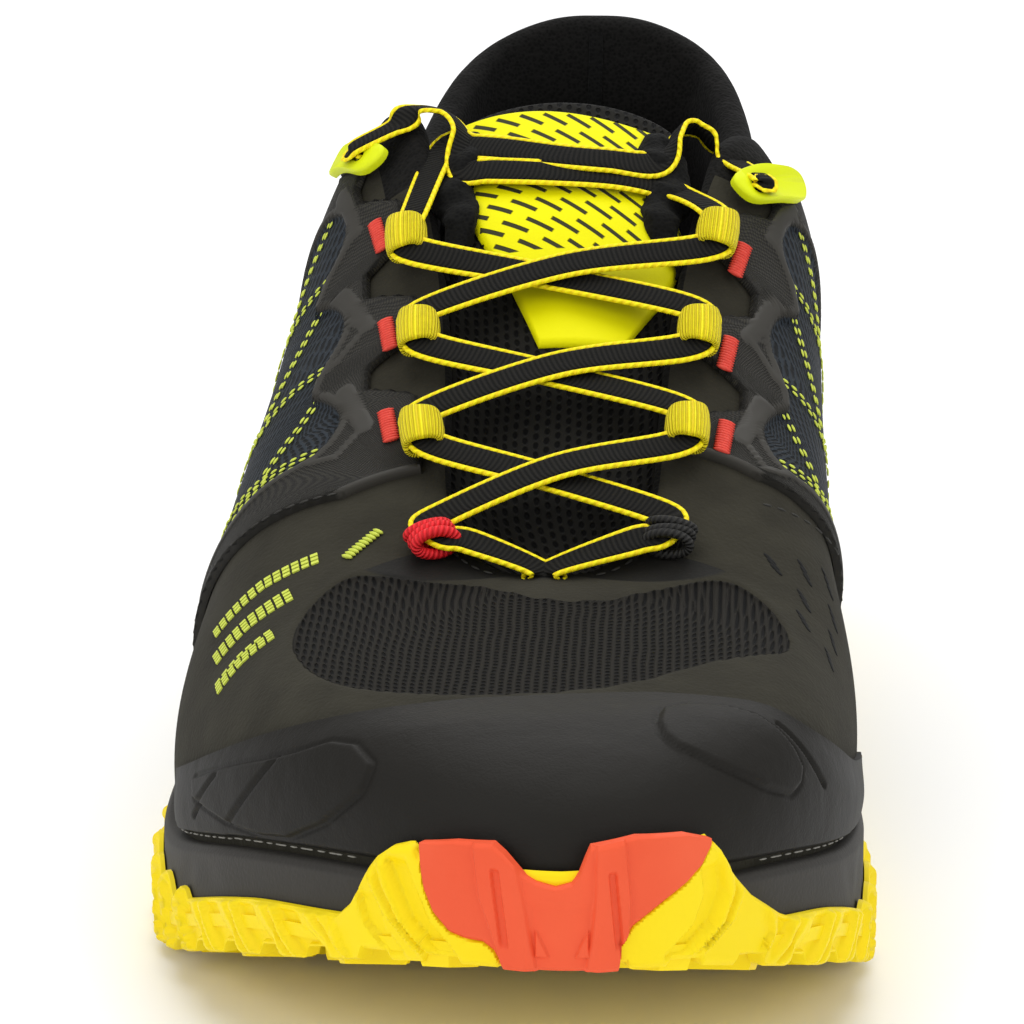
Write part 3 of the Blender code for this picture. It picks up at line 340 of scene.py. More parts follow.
# Toe piece: lower boundary and top edge by turn, in millimetres of height
TOE_LOW = [
    (0.451, 41.0), (0.4515, 38.0), (0.4525, 35.5), (0.4555, 32.5), (0.4605, 30.5), (0.466, 30.0),
    (0.472, 30.0), (0.476, 29.0), (0.479, 26.8), (0.5205, 26.8), (0.5215, 30.0), (0.526, 32.5),
    (0.5365, 35.0), (0.5455, 37.0), (0.551, 39.0), (0.5545, 41.5),
]
TOE_TOP = [
    (0.451, 41.8), (0.4625, 43.0), (0.4755, 43.6), (0.4795, 42.4), (0.4825, 41.2), (0.4865, 39.6),
    (0.4905, 38.8), (0.4975, 38.2), (0.5035, 38.8), (0.5060, 40.0), (0.5085, 42.2), (0.5105, 43.8),
    (0.5275, 44.6), (0.5455, 43.8), (0.5545, 42.4),
]
# Legs of the toe piece: left edge, right edge and slot, as height and turn
TOE_LEGS = [
    (
        [(26.5, 0.4795), (30.0, 0.477), (36.0, 0.4715), (44.0, 0.469)],
        [(26.5, 0.491), (31.5, 0.489), (36.0, 0.4865), (44.0, 0.482)],
        [(26.5, 0.481), (30.0, 0.480), (36.0, 0.478), (44.0, 0.4755)],
    ),
    (
        [(26.5, 0.5085), (30.5, 0.5105), (36.0, 0.512), (44.0, 0.5125)],
        [(26.5, 0.5215), (31.0, 0.524), (36.0, 0.5245), (44.0, 0.5225)],
        [(26.5, 0.522), (31.0, 0.5205), (36.0, 0.519), (44.0, 0.517)],
    ),
]
TOE_MARKS = [(0.4905, 1.0), (0.5095, -1.0)]
# Hook plates: outline, opening and where the lace goes down, as turns and climbs
HOOK_OUTLINE = {
    "lateral": [
        (0.2215, 0.785), (0.2205, 0.83), (0.2215, 0.855), (0.2290, 0.885), (0.2345, 0.925), (0.2375, 0.955),
        (0.2395, 0.925), (0.2385, 0.865), (0.2310, 0.82),
    ],
    "medial": [
        (0.7570, 0.975), (0.7630, 0.925), (0.7665, 0.885), (0.7710, 0.855), (0.7745, 0.825), (0.7715, 0.790),
        (0.7660, 0.785), (0.7570, 0.865), (0.7545, 0.905), (0.7550, 0.940),
    ],
}
HOOK_HOLE = {
    "lateral": [(0.2300, 0.868), (0.2325, 0.895), (0.2355, 0.897), (0.2355, 0.872), (0.2330, 0.862)],
    "medial": [
        (0.7590, 0.925), (0.7610, 0.905), (0.7600, 0.882), (0.7580, 0.880), (0.7565, 0.900), (0.7570, 0.920),
    ],
}
HOOK_MIDDLE = {"lateral": (0.2328, 0.880), "medial": (0.7588, 0.902)}
# Bright plate of the tongue: share of the length, left and right edge across the tongue
PLATE_OUTLINE = [
    (0.384, -0.84, 0.86), (0.430, -0.80, 0.92), (0.472, -0.68, 0.94), (0.492, -0.55, 0.92),
    (0.504, -0.46, 0.88), (0.520, -0.37, 0.80), (0.546, -0.21, 0.60), (0.552, -0.17, 0.55),
]
# Lace over the tongue, as share, across and lift in millimetres, and its arc to the hook in millimetres
LACE_OVER_TONGUE = {
    "medial": [
        (0.442, 0.83, 2.6), (0.446, 0.45, 2.6), (0.449, -0.08, 2.8), (0.441, -0.50, 2.8), (0.433, -0.72, 3.0),
    ],
    "lateral": [
        (0.405, -0.90, 2.6), (0.413, -0.72, 2.6), (0.424, -0.45, 2.6),
        (0.437, 0.0, 3.0), (0.438, 0.35, 3.4), (0.430, 0.68, 3.2),
    ],
}
LACE_ARC = {
    "lateral": [(-11.5, 25.5, 107.0), (-14.5, 30.0, 109.8), (-19.5, 30.5, 110.5), (-23.0, 28.5, 108.0)],
    "medial": [(22.8, 24.5, 106.0), (24.2, 28.0, 108.0), (27.5, 29.0, 107.5), (32.0, 26.0, 103.5)],
}


def closed_spline(knots, values):
    """A smooth curve through values at knots on a loop of length one."""
    knots, values = np.asarray(knots, float), np.asarray(values, float)
    gap = np.roll(knots, -1) - knots
    gap[-1] += 1
    slope = (np.roll(values, -1) - values) / gap
    count = len(knots)
    matrix = np.zeros((count, count))
    for i in range(count):
        matrix[i, i - 1] += gap[i - 1]
        matrix[i, i] += 2 * (gap[i - 1] + gap[i])
        matrix[i, (i + 1) % count] += gap[i]
    bend = np.linalg.solve(matrix, 6 * (slope - np.roll(slope, 1)))

    def curve(turn):
        turn = np.mod(np.asarray(turn, float) - knots[0], 1) + knots[0]
        i = np.clip(np.searchsorted(knots, turn, "right") - 1, 0, count - 1)
        j = (i + 1) % count
        ahead = (turn - knots[i]) / gap[i]
        behind = 1 - ahead
        cubic = (behind**3 - behind) * bend[i] + (ahead**3 - ahead) * bend[j]
        return behind * values[i] + ahead * values[j] + cubic * gap[i] ** 2 / 6

    return curve


def turn_of(share, side):
    """Place on the loop, heel 0 and toe 0.5, of a share of the length on one side."""
    half = math.acos(1 - 2 * share) / (2 * math.pi)
    return half if side == "lateral" else 1 - half


def share_of(turn):
    return (1 - np.cos(2 * np.pi * np.asarray(turn, float))) / 2


def around(heel, lateral, toe, medial, pick):
    """Spline of one column, round the loop from the heel by the lateral side and the toe."""
    rows = [(0.0, pick(heel, "lateral"))]
    rows += [(turn_of(r[0], "lateral"), pick(r, "lateral")) for r in lateral]
    rows += [(0.5, pick(toe, "lateral"))]
    rows += [(turn_of(r[0], "medial"), pick(r, "medial")) for r in reversed(medial)]
    return closed_spline([r[0] for r in rows], [r[1] for r in rows])


def sole_column(kind, size):
    """Spline of a section column that has a lateral and a medial value."""
    return around(
        HEEL_TIP, SECTIONS, TOE_TIP, SECTIONS,
        lambda row, side: size * getattr(row, kind.format(side)),
    )


def rib_column(name, size):
    return around(
        HEEL_RIB, LATERAL_RIBS, TOE_RIB, MEDIAL_RIBS,
        lambda row, side: size * getattr(row, name),
    )


outline_x = sole_column("{}", BALL_WIDTH)
ground_spline = sole_column("ground", STACK_HEIGHT)
bed_height = sole_column("bed", STACK_HEIGHT)
bite_height = sole_column("bite_{}", STACK_HEIGHT)
edge_height = sole_column("edge_{}", STACK_HEIGHT)


def place_y(share):
    """Y of a share of the length, heel 0 and toe 1."""
    return LENGTH * (0.5 - np.asarray(share, float))


def outline(turn, inset=0.0):
    """Plan outline of the sole, moved inwards by inset, and its outward normal."""
    step = 1e-4

    def point(t):
        return np.stack([outline_x(t), place_y(share_of(t))], -1)

    along = point(np.asarray(turn) + step) - point(np.asarray(turn) - step)
    normal = np.stack([along[..., 1], -along[..., 0]], -1)
    normal /= np.linalg.norm(normal, axis=-1, keepdims=True)
    return point(turn) - normal * np.asarray(inset)[..., None], normal


UPPER_INSET = OUTSOLE_WALL + CLEARANCE + RIM_WALL + CLEARANCE

top_share = rib_column("top", 1.0)
top_spread = rib_column("spread", BALL_WIDTH)
top_height = rib_column("height", COLLAR_HEIGHT)
low_rise = rib_column("rise", COLLAR_HEIGHT)
low_bulge = rib_column("bulge", BALL_WIDTH)
high_reach = rib_column("reach", BALL_WIDTH)
high_drop = rib_column("drop", COLLAR_HEIGHT)


def upper_surface(turn, climb):
    """Outer face of the upper: climb runs from the midsole's rim, 0, to the opening's edge, 1."""
    turn, climb = np.broadcast_arrays(np.asarray(turn, float), np.asarray(climb, float))
    plan, normal = outline(turn, UPPER_INSET)
    foot = np.concatenate([plan, (bite_height(turn) - 0.5 * MM)[..., None]], -1)
    side = np.concatenate([normal, np.zeros(normal.shape[:-1] + (1,))], -1)
    up = np.array([0.0, 0.0, 1.0])
    top = np.stack(
        [
            INSTEP_CENTRE * BALL_WIDTH + top_spread(turn),
            place_y(top_share(turn)),
            top_height(turn),
        ],
        -1,
    )
    rise = low_rise(turn) + bed_height(turn) - bite_height(turn)
    low = foot + side * low_bulge(turn)[..., None] + up * rise[..., None]
    high = top + side * high_reach(turn)[..., None] - up * high_drop(turn)[..., None]
    t = climb[..., None]
    return (
        (1 - t) ** 3 * foot + 3 * (1 - t) ** 2 * t * low + 3 * (1 - t) * t**2 * high + t**3 * top
    )

UP = np.array([0.0, 0.0, 1.0])


def ease(value, low, high):
    """0 below low, 1 above high, smooth between."""
    t = np.clip((np.asarray(value, float) - low) / (high - low), 0, 1)
    return t * t * (3 - 2 * t)


def run_of(points):
    """Length run along a line of points, up to each of them."""
    return np.concatenate([[0], np.cumsum(np.linalg.norm(np.diff(points, axis=0), axis=1))])


def read_line(spots, run, rows):
    """Rows of numbers read at places along a run."""
    return np.stack([np.interp(spots, run, rows[:, i]) for i in range(rows.shape[1])], -1)


def along_outline(count):
    """Half-loop turns from heel to toe, evenly spaced along the sole's edge."""
    dense = np.linspace(0, 0.5, 801)
    run = run_of(outline(dense)[0])
    return np.interp(np.linspace(0, run[-1], count + 1), run, dense)


def whole_loop(half):
    """Turns of a whole loop from half a loop: item i faces item -i across the shoe."""
    return np.concatenate([half, 1 - half[-2:0:-1]])


def upper_normal(turn, climb):
    step = 2e-4
    low, high = np.clip(climb - step, 0, 1), np.clip(climb + step, 0, 1)
    along = upper_surface(turn + step, climb) - upper_surface(turn - step, climb)
    rise = upper_surface(turn, high) - upper_surface(turn, low)
    normal = np.cross(along, rise)
    return normal / np.linalg.norm(normal, axis=-1, keepdims=True)


def upper_point(turn, climb, out=0.0):
    """A point of the upper's outer face, moved outwards by out."""
    turn, climb = np.broadcast_arrays(np.asarray(turn, float), np.asarray(climb, float))
    shift = np.asarray(out, float)[..., None]
    return upper_surface(turn, climb) + upper_normal(turn, climb) * shift


def climb_at_height(turn, height):
    """Lowest climb at which the upper is as high as height, for each turn."""
    climbs = np.linspace(0, 0.7, 281)
    found = []
    for one, level in zip(np.atleast_1d(turn), np.atleast_1d(height)):
        heights = upper_surface(np.full_like(climbs, one), climbs)[:, 2]
        found.append(climbs[np.argmax(heights >= level)])
    return np.array(found)


def ground_height(y):
    """Underside of the lugs over the floor at one place along the shoe."""
    share = 0.5 - np.asarray(y, float) / LENGTH
    middle = np.maximum(ground_spline(np.arccos(np.clip(1 - 2 * share, -1, 1)) / (2 * np.pi)), 0)
    flat = (share > FLAT_HEEL) & (share < FLAT_BALL)
    return np.where(flat, 0.0, middle)


def base_height(y):
    """Underside of the outsole between its lugs, which are shallow at the toe."""
    share = 0.5 - np.asarray(y, float) / LENGTH
    return ground_height(y) + LUG_DEPTH * (1 - LUG_FADE * ease(share, 0.88, 0.99))


def raised(plan, height):
    return np.concatenate([plan, np.asarray(height, float)[..., None]], -1)


def toe_notch(turns):
    """Share of the full edge height that the outsole keeps beside and under the toe piece."""
    away = np.abs(turns - 0.5)
    return np.clip((away - TOE_PIECE_FOOT) / (TOE_PIECE_TOP - TOE_PIECE_FOOT), 0, 1)


def outsole_edge(turns):
    """Top of the outsole's wall without its teeth."""
    low = base_height(place_y(share_of(turns))) + 1.2 * MM
    keep = toe_notch(turns)
    return low + (edge_height(turns) - low) * keep


def upper_wall(turn, climb):
    """Wall of the upper: thin over the foot, padded round the ankle."""
    collar = 1 - ease(top_share(turn), 0.38, 0.46)
    return UPPER_WALL + (COLLAR_PAD - UPPER_WALL) * collar * ease(climb, 0.45, 0.85)


def rim_climb(turns):
    """Climb just above the midsole's rim."""
    return climb_at_height(turns, bite_height(turns) + RIM_RISE)


def throat_turn(share, side):
    """Turn of the rib whose top is at a share of the length."""
    dense = np.linspace(0.0, 0.5, 2001) if side == "lateral" else np.linspace(1.0, 0.5, 2001)
    return np.interp(share, top_share(dense), dense)


def tongue_station(share):
    """Outer face of the tongue across one station: lateral edge to medial edge."""
    blend = float(ease(0.50 - share, 0.0, 0.05))
    ends = []
    for side in ("lateral", "medial"):
        turn = throat_turn(max(share, 0.40), side)
        lip = upper_point(turn, 1.0, -(upper_wall(turn, 1.0) + TONGUE_GAP))
        deep = upper_point(turn, 0.88, -(upper_wall(turn, 0.88) + TONGUE_GAP))
        ends.append((deep, lip))
    return blend, ends


def tongue_points(share, parts):
    """Points across the tongue at one station."""
    blend, ends = tongue_station(share)
    (left_deep, left), (right_deep, right) = ends
    middle_x = INSTEP_CENTRE * BALL_WIDTH
    crown = np.interp(share, TONGUE_SHARES, TONGUE_CROWN) * COLLAR_HEIGHT
    width = np.interp(share, TONGUE_SHARES, TONGUE_WIDTH) * BALL_WIDTH
    y = float(place_y(share))
    follow = []
    for k in range(parts + 1):
        across = 2 * k / parts - 1
        x = middle_x + across * width
        z = crown - TONGUE_ROUND * across**2 * width
        follow.append((x, y, z))
    follow = np.array(follow)
    tucked = follow.copy()
    edge = 1 / (parts / 2)
    for k in range(parts + 1):
        across = 2 * k / parts - 1
        if across <= -1 + edge / 2:
            tucked[k] = left_deep
        elif across <= -1 + edge * 1.5:
            tucked[k] = left
        elif across >= 1 - edge / 2:
            tucked[k] = right_deep
        elif across >= 1 - edge * 1.5:
            tucked[k] = right
        else:
            t = (across + 1 - edge) / (2 - 2 * edge)
            slope_l, slope_r = left - left_deep, right_deep - right
            span = np.linalg.norm(right - left)
            slope_l = slope_l / np.linalg.norm(slope_l) * span * TONGUE_EASE
            slope_r = slope_r / np.linalg.norm(slope_r) * span * TONGUE_EASE
            tucked[k] = (
                (1 - t) ** 3 * left + 3 * (1 - t) ** 2 * t * (left + slope_l)
                + 3 * (1 - t) * t**2 * (right - slope_r) + t**3 * right
            )
    return tucked * (1 - blend) + follow * blend


def tongue_down(share, parts):
    """From the tongue's outer face to its inner one."""
    points = tongue_points(share, parts)
    ahead = tongue_points(share + 0.004, parts)
    behind = tongue_points(share - 0.004, parts)
    across = np.gradient(points, axis=0)
    normal = np.cross(across, behind - ahead)
    normal /= np.linalg.norm(normal, axis=-1, keepdims=True)
    normal *= np.where(normal[:, 2] < 0, -1, 1)[:, None]
    thick = np.interp(share, TONGUE_SHARES, TONGUE_THICK) * MM
    return -normal * thick


def edge_frame(share, side, inward):
    """Place and axes of a lace fitting at the throat's edge, inward from it."""
    turn = throat_turn(share, side)
    lip = upper_point(turn, 1.0)
    below = upper_point(turn, 0.93)
    normal = upper_normal(turn, 0.97)
    across = lip - below
    across -= normal * across.dot(normal)
    across /= np.linalg.norm(across)
    along = np.cross(normal, across)
    return lip + across * inward, across, along, normal


def loop_middle(share, side, inward):
    """Middle of a lace loop and its axes."""
    place, across, along, normal = edge_frame(share, side, inward)
    forward = along if along[1] > 0 else -along
    return place + normal * (LOOP_LIFT + LOOP_TALL / 2), across, forward, normal


def linear(code):
    """Linear colour of a screen colour such as 3B3934."""
    values = [int(code[i:i + 2], 16) / 255 for i in (0, 2, 4)]
    low = [v / 12.92 if v <= 0.04045 else ((v + 0.055) / 1.055) ** 2.4 for v in values]
    return tuple(low) + (1.0,)


class Finish:
    """One material, with short calls for the nodes that it needs."""

    def __init__(self, name, roughness=0.8, **settings):
        self.material = bpy.data.materials.new(name)
        self.material.use_nodes = True
        self.nodes = self.material.node_tree.nodes
        self.links = self.material.node_tree.links
        self.shader = self.nodes["Principled BSDF"]
        self.shader.inputs["Roughness"].default_value = roughness
        for label, value in settings.items():
            self.shader.inputs[label.replace("_", " ")].default_value = value

    def put(self, socket, value):
        if isinstance(value, bpy.types.NodeSocket):
            self.links.new(value, socket)
        else:
            socket.default_value = value

    def maths(self, operation, *values):
        node = self.nodes.new("ShaderNodeMath")
        node.operation = operation
        for socket, value in zip(node.inputs, values):
            self.put(socket, value)
        return node.outputs[0]

    def field(self, name):
        """A value kept on the mesh's points."""
        node = self.nodes.new("ShaderNodeAttribute")
        node.attribute_name = name
        return node.outputs["Fac"]

    def place(self, kind="Object"):
        return self.nodes.new("ShaderNodeTexCoord").outputs[kind]

    def parts(self, vector):
        node = self.nodes.new("ShaderNodeSeparateXYZ")
        self.put(node.inputs[0], vector)
        return node.outputs

    def step(self, value, low, high):
        """0 below low and 1 above high, smooth between."""
        node = self.nodes.new("ShaderNodeMapRange")
        node.interpolation_type = "SMOOTHSTEP"
        self.put(node.inputs["Value"], value)
        node.inputs["From Min"].default_value = low
        node.inputs["From Max"].default_value = high
        return node.outputs["Result"]

    def blend(self, share, low, high):
        """Colour between two colours."""
        node = self.nodes.new("ShaderNodeMix")
        node.data_type = "RGBA"
        self.put(node.inputs[0], share)
        self.put(node.inputs[6], low)
        self.put(node.inputs[7], high)
        return node.outputs[2]

    def between(self, share, low, high):
        """Number between two numbers."""
        node = self.nodes.new("ShaderNodeMix")
        self.put(node.inputs[0], share)
        self.put(node.inputs[2], low)
        self.put(node.inputs[3], high)
        return node.outputs[0]

    def noise(self, scale, detail=2.0, vector=None, roughness=0.5):
        node = self.nodes.new("ShaderNodeTexNoise")
        self.put(node.inputs["Vector"], self.place() if vector is None else vector)
        node.inputs["Scale"].default_value = scale
        node.inputs["Detail"].default_value = detail
        node.inputs["Roughness"].default_value = roughness
        return node.outputs["Fac"]

    def cells(self, scale, vector=None):
        node = self.nodes.new("ShaderNodeTexVoronoi")
        self.put(node.inputs["Vector"], self.place() if vector is None else vector)
        node.inputs["Scale"].default_value = scale
        return node.outputs["Distance"]

    def bump(self, height, depth, below=None):
        node = self.nodes.new("ShaderNodeBump")
        node.inputs["Strength"].default_value = 1.0
        node.inputs["Distance"].default_value = depth
        self.put(node.inputs["Height"], height)
        if below is not None:
            self.put(node.inputs["Normal"], below)
        return node.outputs[0]

    def colour(self, value):
        self.put(self.shader.inputs["Base Color"], value)

    def dull(self, value):
        self.put(self.shader.inputs["Roughness"], value)

    def normal(self, value):
        self.put(self.shader.inputs["Normal"], value)


def knit_holes(finish, u, v, rib, pitch, size=0.42):
    """1 on the yarn and 0 in the holes of a ribbed mesh; holes of next ribs are half a pitch apart."""
    column = finish.maths("DIVIDE", u, rib)
    whole = finish.maths("FLOOR", column)
    across = finish.maths("SUBTRACT", finish.maths("FRACT", column), 0.5)
    shift = finish.maths("MULTIPLY", whole, 0.5)
    row = finish.maths("ADD", finish.maths("DIVIDE", v, pitch), shift)
    along = finish.maths("SUBTRACT", finish.maths("FRACT", row), 0.5)
    far = finish.maths(
        "ADD",
        finish.maths("POWER", finish.maths("ABSOLUTE", finish.maths("DIVIDE", across, 0.62)), 2.0),
        finish.maths("POWER", finish.maths("ABSOLUTE", finish.maths("DIVIDE", along, 0.95)), 2.0),
    )
    return finish.step(far, (size * 0.55) ** 2, (size * 1.25) ** 2)


def weave_dots(finish, u, v, pitch):
    """Height of a fine basket weave."""
    a = finish.maths("SINE", finish.maths("MULTIPLY", u, TAU / pitch))
    b = finish.maths("SINE", finish.maths("MULTIPLY", v, TAU / pitch))
    return finish.maths("MULTIPLY", a, b)


def wobble(finish, u, scale, size):
    """A coordinate with a little unevenness in it."""
    uneven = finish.maths("SUBTRACT", finish.noise(scale, 2.0), 0.5)
    return finish.maths("ADD", u, finish.maths("MULTIPLY", uneven, size))


def grid_faces(grid, wrap_u, wrap_v):
    """Quads of a grid of point numbers."""
    if wrap_u:
        grid = np.concatenate([grid, grid[:, :1]], 1)
    if wrap_v:
        grid = np.concatenate([grid, grid[:1]], 0)
    quads = [grid[:-1, :-1], grid[:-1, 1:], grid[1:, 1:], grid[1:, :-1]]
    return np.stack(quads, -1).reshape(-1, 4)


def uv_numbers(rows, cols, wrap_u, wrap_v):
    """Numbers of the UV points of a grid, where a wrapped side has a column or row of its own."""
    rows, cols = rows + wrap_v, cols + wrap_u
    return np.arange(rows * cols).reshape(rows, cols)


def make_mesh(name, points, faces, material, fields=None, uv=None, uv_faces=None, sharp=50):
    """Object from points and quads; faces are turned outwards by the sign of the volume."""
    points = np.asarray(points, float).reshape(-1, 3)
    a, b, c, d = (points[faces[:, i]] for i in range(4))
    volume = np.einsum("ij,ij->", a, np.cross(b, c)) + np.einsum("ij,ij->", a, np.cross(c, d))
    if volume < 0:
        faces = faces[:, ::-1]
        uv_faces = None if uv_faces is None else uv_faces[:, ::-1]
    mesh = bpy.data.meshes.new(name)
    mesh.from_pydata(points.tolist(), [], faces.tolist())
    for label, values in (fields or {}).items():
        layer = mesh.attributes.new(label, "FLOAT", "POINT")
        layer.data.foreach_set("value", np.asarray(values, np.float32).ravel())
    if uv is not None:
        layer = mesh.uv_layers.new(name="UVMap")
        flat = np.asarray(uv, np.float32).reshape(-1, 2)[uv_faces.ravel()]
        layer.data.foreach_set("uv", flat.ravel())
    mesh.materials.append(material)
    mesh.shade_smooth()
    mesh.set_sharp_from_angle(angle=math.radians(sharp))
    piece = bpy.data.objects.new(name, mesh)
    bpy.context.scene.collection.objects.link(piece)
    return piece


def shell(name, outer, inner, material, closed=False, fields=None, uv=None, sharp=50):
    """Closed solid between an outer and an inner grid; fields and uv are given on the outer one."""
    grid = np.concatenate([outer, inner[::-1]])
    rows, cols = grid.shape[:2]
    number = np.arange(rows * cols).reshape(rows, cols)
    faces = grid_faces(number, closed, True)
    ends = []
    if not closed:
        for col, turned in ((0, False), (-1, True)):
            front, back = number[:len(outer), col], number[::-1, col][:len(inner)]
            end = np.stack([front[:-1], front[1:], back[1:], back[:-1]], -1)
            ends.append(end[:, ::-1] if turned else end)
        faces = np.concatenate([faces] + ends)
    whole = {}
    for label, values in (fields or {}).items():
        back = values[::-1] if len(inner) == len(outer) else np.repeat(values[-1:], len(inner), 0)
        whole[label] = np.concatenate([values, back])
    uv_faces = None
    if uv is not None:
        back = uv[::-1] if len(inner) == len(outer) else np.repeat(uv[-1:], len(inner), 0)
        uv = np.concatenate([uv, back, uv[:1]])
        if closed:
            uv = np.concatenate([uv, uv[:, -1:] * 2 - uv[:, -2:-1]], 1)
        uv_faces = grid_faces(uv_numbers(rows, cols, closed, True), False, False)
        if not closed:
            uv_faces = np.concatenate([uv_faces] + ends)
    return make_mesh(name, grid, faces, material, whole, uv, uv_faces, sharp)


def surface_uv(points, middle=None):
    """Lengths along the rows and columns of a grid, in metres."""
    across = np.linalg.norm(np.diff(points, axis=1), axis=-1)
    u = np.concatenate([np.zeros((len(points), 1)), np.cumsum(across, 1)], 1)
    if middle is not None:
        u = u - u[:, middle:middle + 1]
    up = np.linalg.norm(np.diff(points, axis=0), axis=-1)
    v = np.concatenate([np.zeros((1, points.shape[1])), np.cumsum(up, 0)], 0)
    return np.stack([u, v], -1)


def rounded(outline, times=3):
    """A closed outline with its corners cut round."""
    outline = np.asarray(outline, float)
    for _ in range(times):
        after = np.roll(outline, -1, axis=0)
        outline = np.stack([outline * 0.75 + after * 0.25, outline * 0.25 + after * 0.75], 1)
        outline = outline.reshape(-1, 2)
    return outline


def inside(outline, turn, climb):
    """Whether places lie inside a closed outline of turns and climbs."""
    hit = np.zeros(turn.shape, bool)
    for (t0, c0), (t1, c1) in zip(outline, np.roll(outline, -1, axis=0)):
        crosses = (c0 > climb) != (c1 > climb)
        if c0 != c1:
            hit ^= crosses & (turn < (t1 - t0) * (climb - c0) / (c1 - c0) + t0)
    return hit


def nearest(points, marks):
    """Distance from each point to the nearest mark."""
    tree = KDTree(len(marks))
    for i, mark in enumerate(marks):
        tree.insert(mark, i)
    tree.balance()
    flat = points.reshape(-1, 3)
    return np.array([tree.find(p)[2] for p in flat]).reshape(points.shape[:-1])


def dense_route(route, count=240, closed=False):
    """Many places along a route of turns and climbs."""
    route = np.asarray(route, float)
    if closed:
        route = np.concatenate([route, route[:1]])
    run = np.concatenate([[0], np.cumsum(np.hypot(np.diff(route[:, 0]) * 6, np.diff(route[:, 1])))])
    spots = np.linspace(0, run[-1], count)
    return np.interp(spots, run, route[:, 0]), np.interp(spots, run, route[:, 1])


def outline_gap(points, turn, climb, outline, out):
    """Signed distance to an outline on the upper, in millimetres, positive inside it."""
    marks = upper_point(*dense_route(outline, 900, True), out)
    far = nearest(points, marks) / MM
    return np.where(inside(outline, turn, climb), far, -far)


def line_gap(points, route, out, count=240):
    """Distance to a line on the upper, in millimetres."""
    return nearest(points, upper_point(*dense_route(route, count), out)) / MM


def thread_tree():
    """Geometry Nodes tree that sets one thread or dash on each point, by its heading and facing."""
    tree = bpy.data.node_groups.new("Threads on points", "GeometryNodeTree")
    sockets = tree.interface
    sockets.new_socket("Geometry", in_out="INPUT", socket_type="NodeSocketGeometry")
    for label in ("Length", "Width", "Height"):
        sockets.new_socket(label, in_out="INPUT", socket_type="NodeSocketFloat")
    sockets.new_socket("Rounded", in_out="INPUT", socket_type="NodeSocketBool")
    sockets.new_socket("Material", in_out="INPUT", socket_type="NodeSocketMaterial")
    sockets.new_socket("Geometry", in_out="OUTPUT", socket_type="NodeSocketGeometry")
    nodes, links = tree.nodes, tree.links
    given = nodes.new("NodeGroupInput").outputs
    result = nodes.new("NodeGroupOutput").inputs
    turned = nodes.new("FunctionNodeAxesToRotation")
    turned.primary_axis = "X"
    turned.secondary_axis = "Z"
    for label, socket in (("heading", turned.inputs[0]), ("facing", turned.inputs[1])):
        named = nodes.new("GeometryNodeInputNamedAttribute")
        named.data_type = "FLOAT_VECTOR"
        named.inputs["Name"].default_value = label
        links.new(named.outputs[0], socket)
    size = nodes.new("ShaderNodeCombineXYZ")
    for i, label in enumerate(("Length", "Width", "Height")):
        links.new(given[label], size.inputs[i])
    bead = nodes.new("GeometryNodeMeshUVSphere")
    bead.inputs["Segments"].default_value = 8
    bead.inputs["Rings"].default_value = 5
    bead.inputs["Radius"].default_value = 0.5
    bar = nodes.new("GeometryNodeMeshCube")
    chosen = nodes.new("GeometryNodeSwitch")
    chosen.input_type = "GEOMETRY"
    links.new(given["Rounded"], chosen.inputs["Switch"])
    links.new(bar.outputs["Mesh"], chosen.inputs["False"])
    links.new(bead.outputs["Mesh"], chosen.inputs["True"])
    spread = nodes.new("GeometryNodeInstanceOnPoints")
    links.new(given["Geometry"], spread.inputs["Points"])
    links.new(chosen.outputs[0], spread.inputs["Instance"])
    links.new(turned.outputs[0], spread.inputs["Rotation"])
    links.new(size.outputs[0], spread.inputs["Scale"])
    real = nodes.new("GeometryNodeRealizeInstances")
    links.new(spread.outputs[0], real.inputs[0])
    painted = nodes.new("GeometryNodeSetMaterial")
    links.new(real.outputs[0], painted.inputs["Geometry"])
    links.new(given["Material"], painted.inputs["Material"])
    links.new(painted.outputs[0], result[0])
    return tree


def threads(name, material, rows, length, width, height, bead=True):
    """Threads or dashes on rows of (places, headings, facings), made a plain mesh."""
    places, headings, facings = (np.concatenate([row[i] for row in rows]) for i in range(3))
    mesh = bpy.data.meshes.new(name)
    mesh.from_pydata(places.tolist(), [], [])
    for label, values in (("heading", headings), ("facing", facings)):
        layer = mesh.attributes.new(label, "FLOAT_VECTOR", "POINT")
        layer.data.foreach_set("vector", np.asarray(values, np.float32).ravel())
    piece = bpy.data.objects.new(name, mesh)
    bpy.context.scene.collection.objects.link(piece)
    modifier = piece.modifiers.new("Threads", "NODES")
    modifier.node_group = THREAD_TREE
    given = {"Length": length, "Width": width, "Height": height, "Rounded": bead, "Material": material}
    for item in THREAD_TREE.interface.items_tree:
        if item.in_out == "INPUT" and item.name in given:
            modifier[item.identifier] = given[item.name]
    bpy.context.view_layer.update()
    made = piece.evaluated_get(bpy.context.evaluated_depsgraph_get())
    piece.data = bpy.data.meshes.new_from_object(made)
    piece.modifiers.clear()
    if bead:
        piece.data.shade_smooth()
    return piece


def surface_row(route, pitch, out, turned=False, shift=0.0):
    """Evenly spaced places along a route on the upper, with headings and facings."""
    turn, climb = dense_route(route)
    out = np.broadcast_to(np.asarray(out, float), turn.shape)
    points = upper_point(turn, climb, out)
    heading = np.gradient(points, axis=0)
    heading /= np.linalg.norm(heading, axis=-1, keepdims=True)
    facing = upper_normal(turn, climb)
    side = np.cross(facing, heading)
    points = points + side * shift
    run = run_of(points)
    count = max(2, int(run[-1] / pitch))
    spots = (np.arange(count) + 0.5) / count * run[-1]
    lines = (points, side if turned else heading, facing)
    return tuple(read_line(spots, run, line) for line in lines)


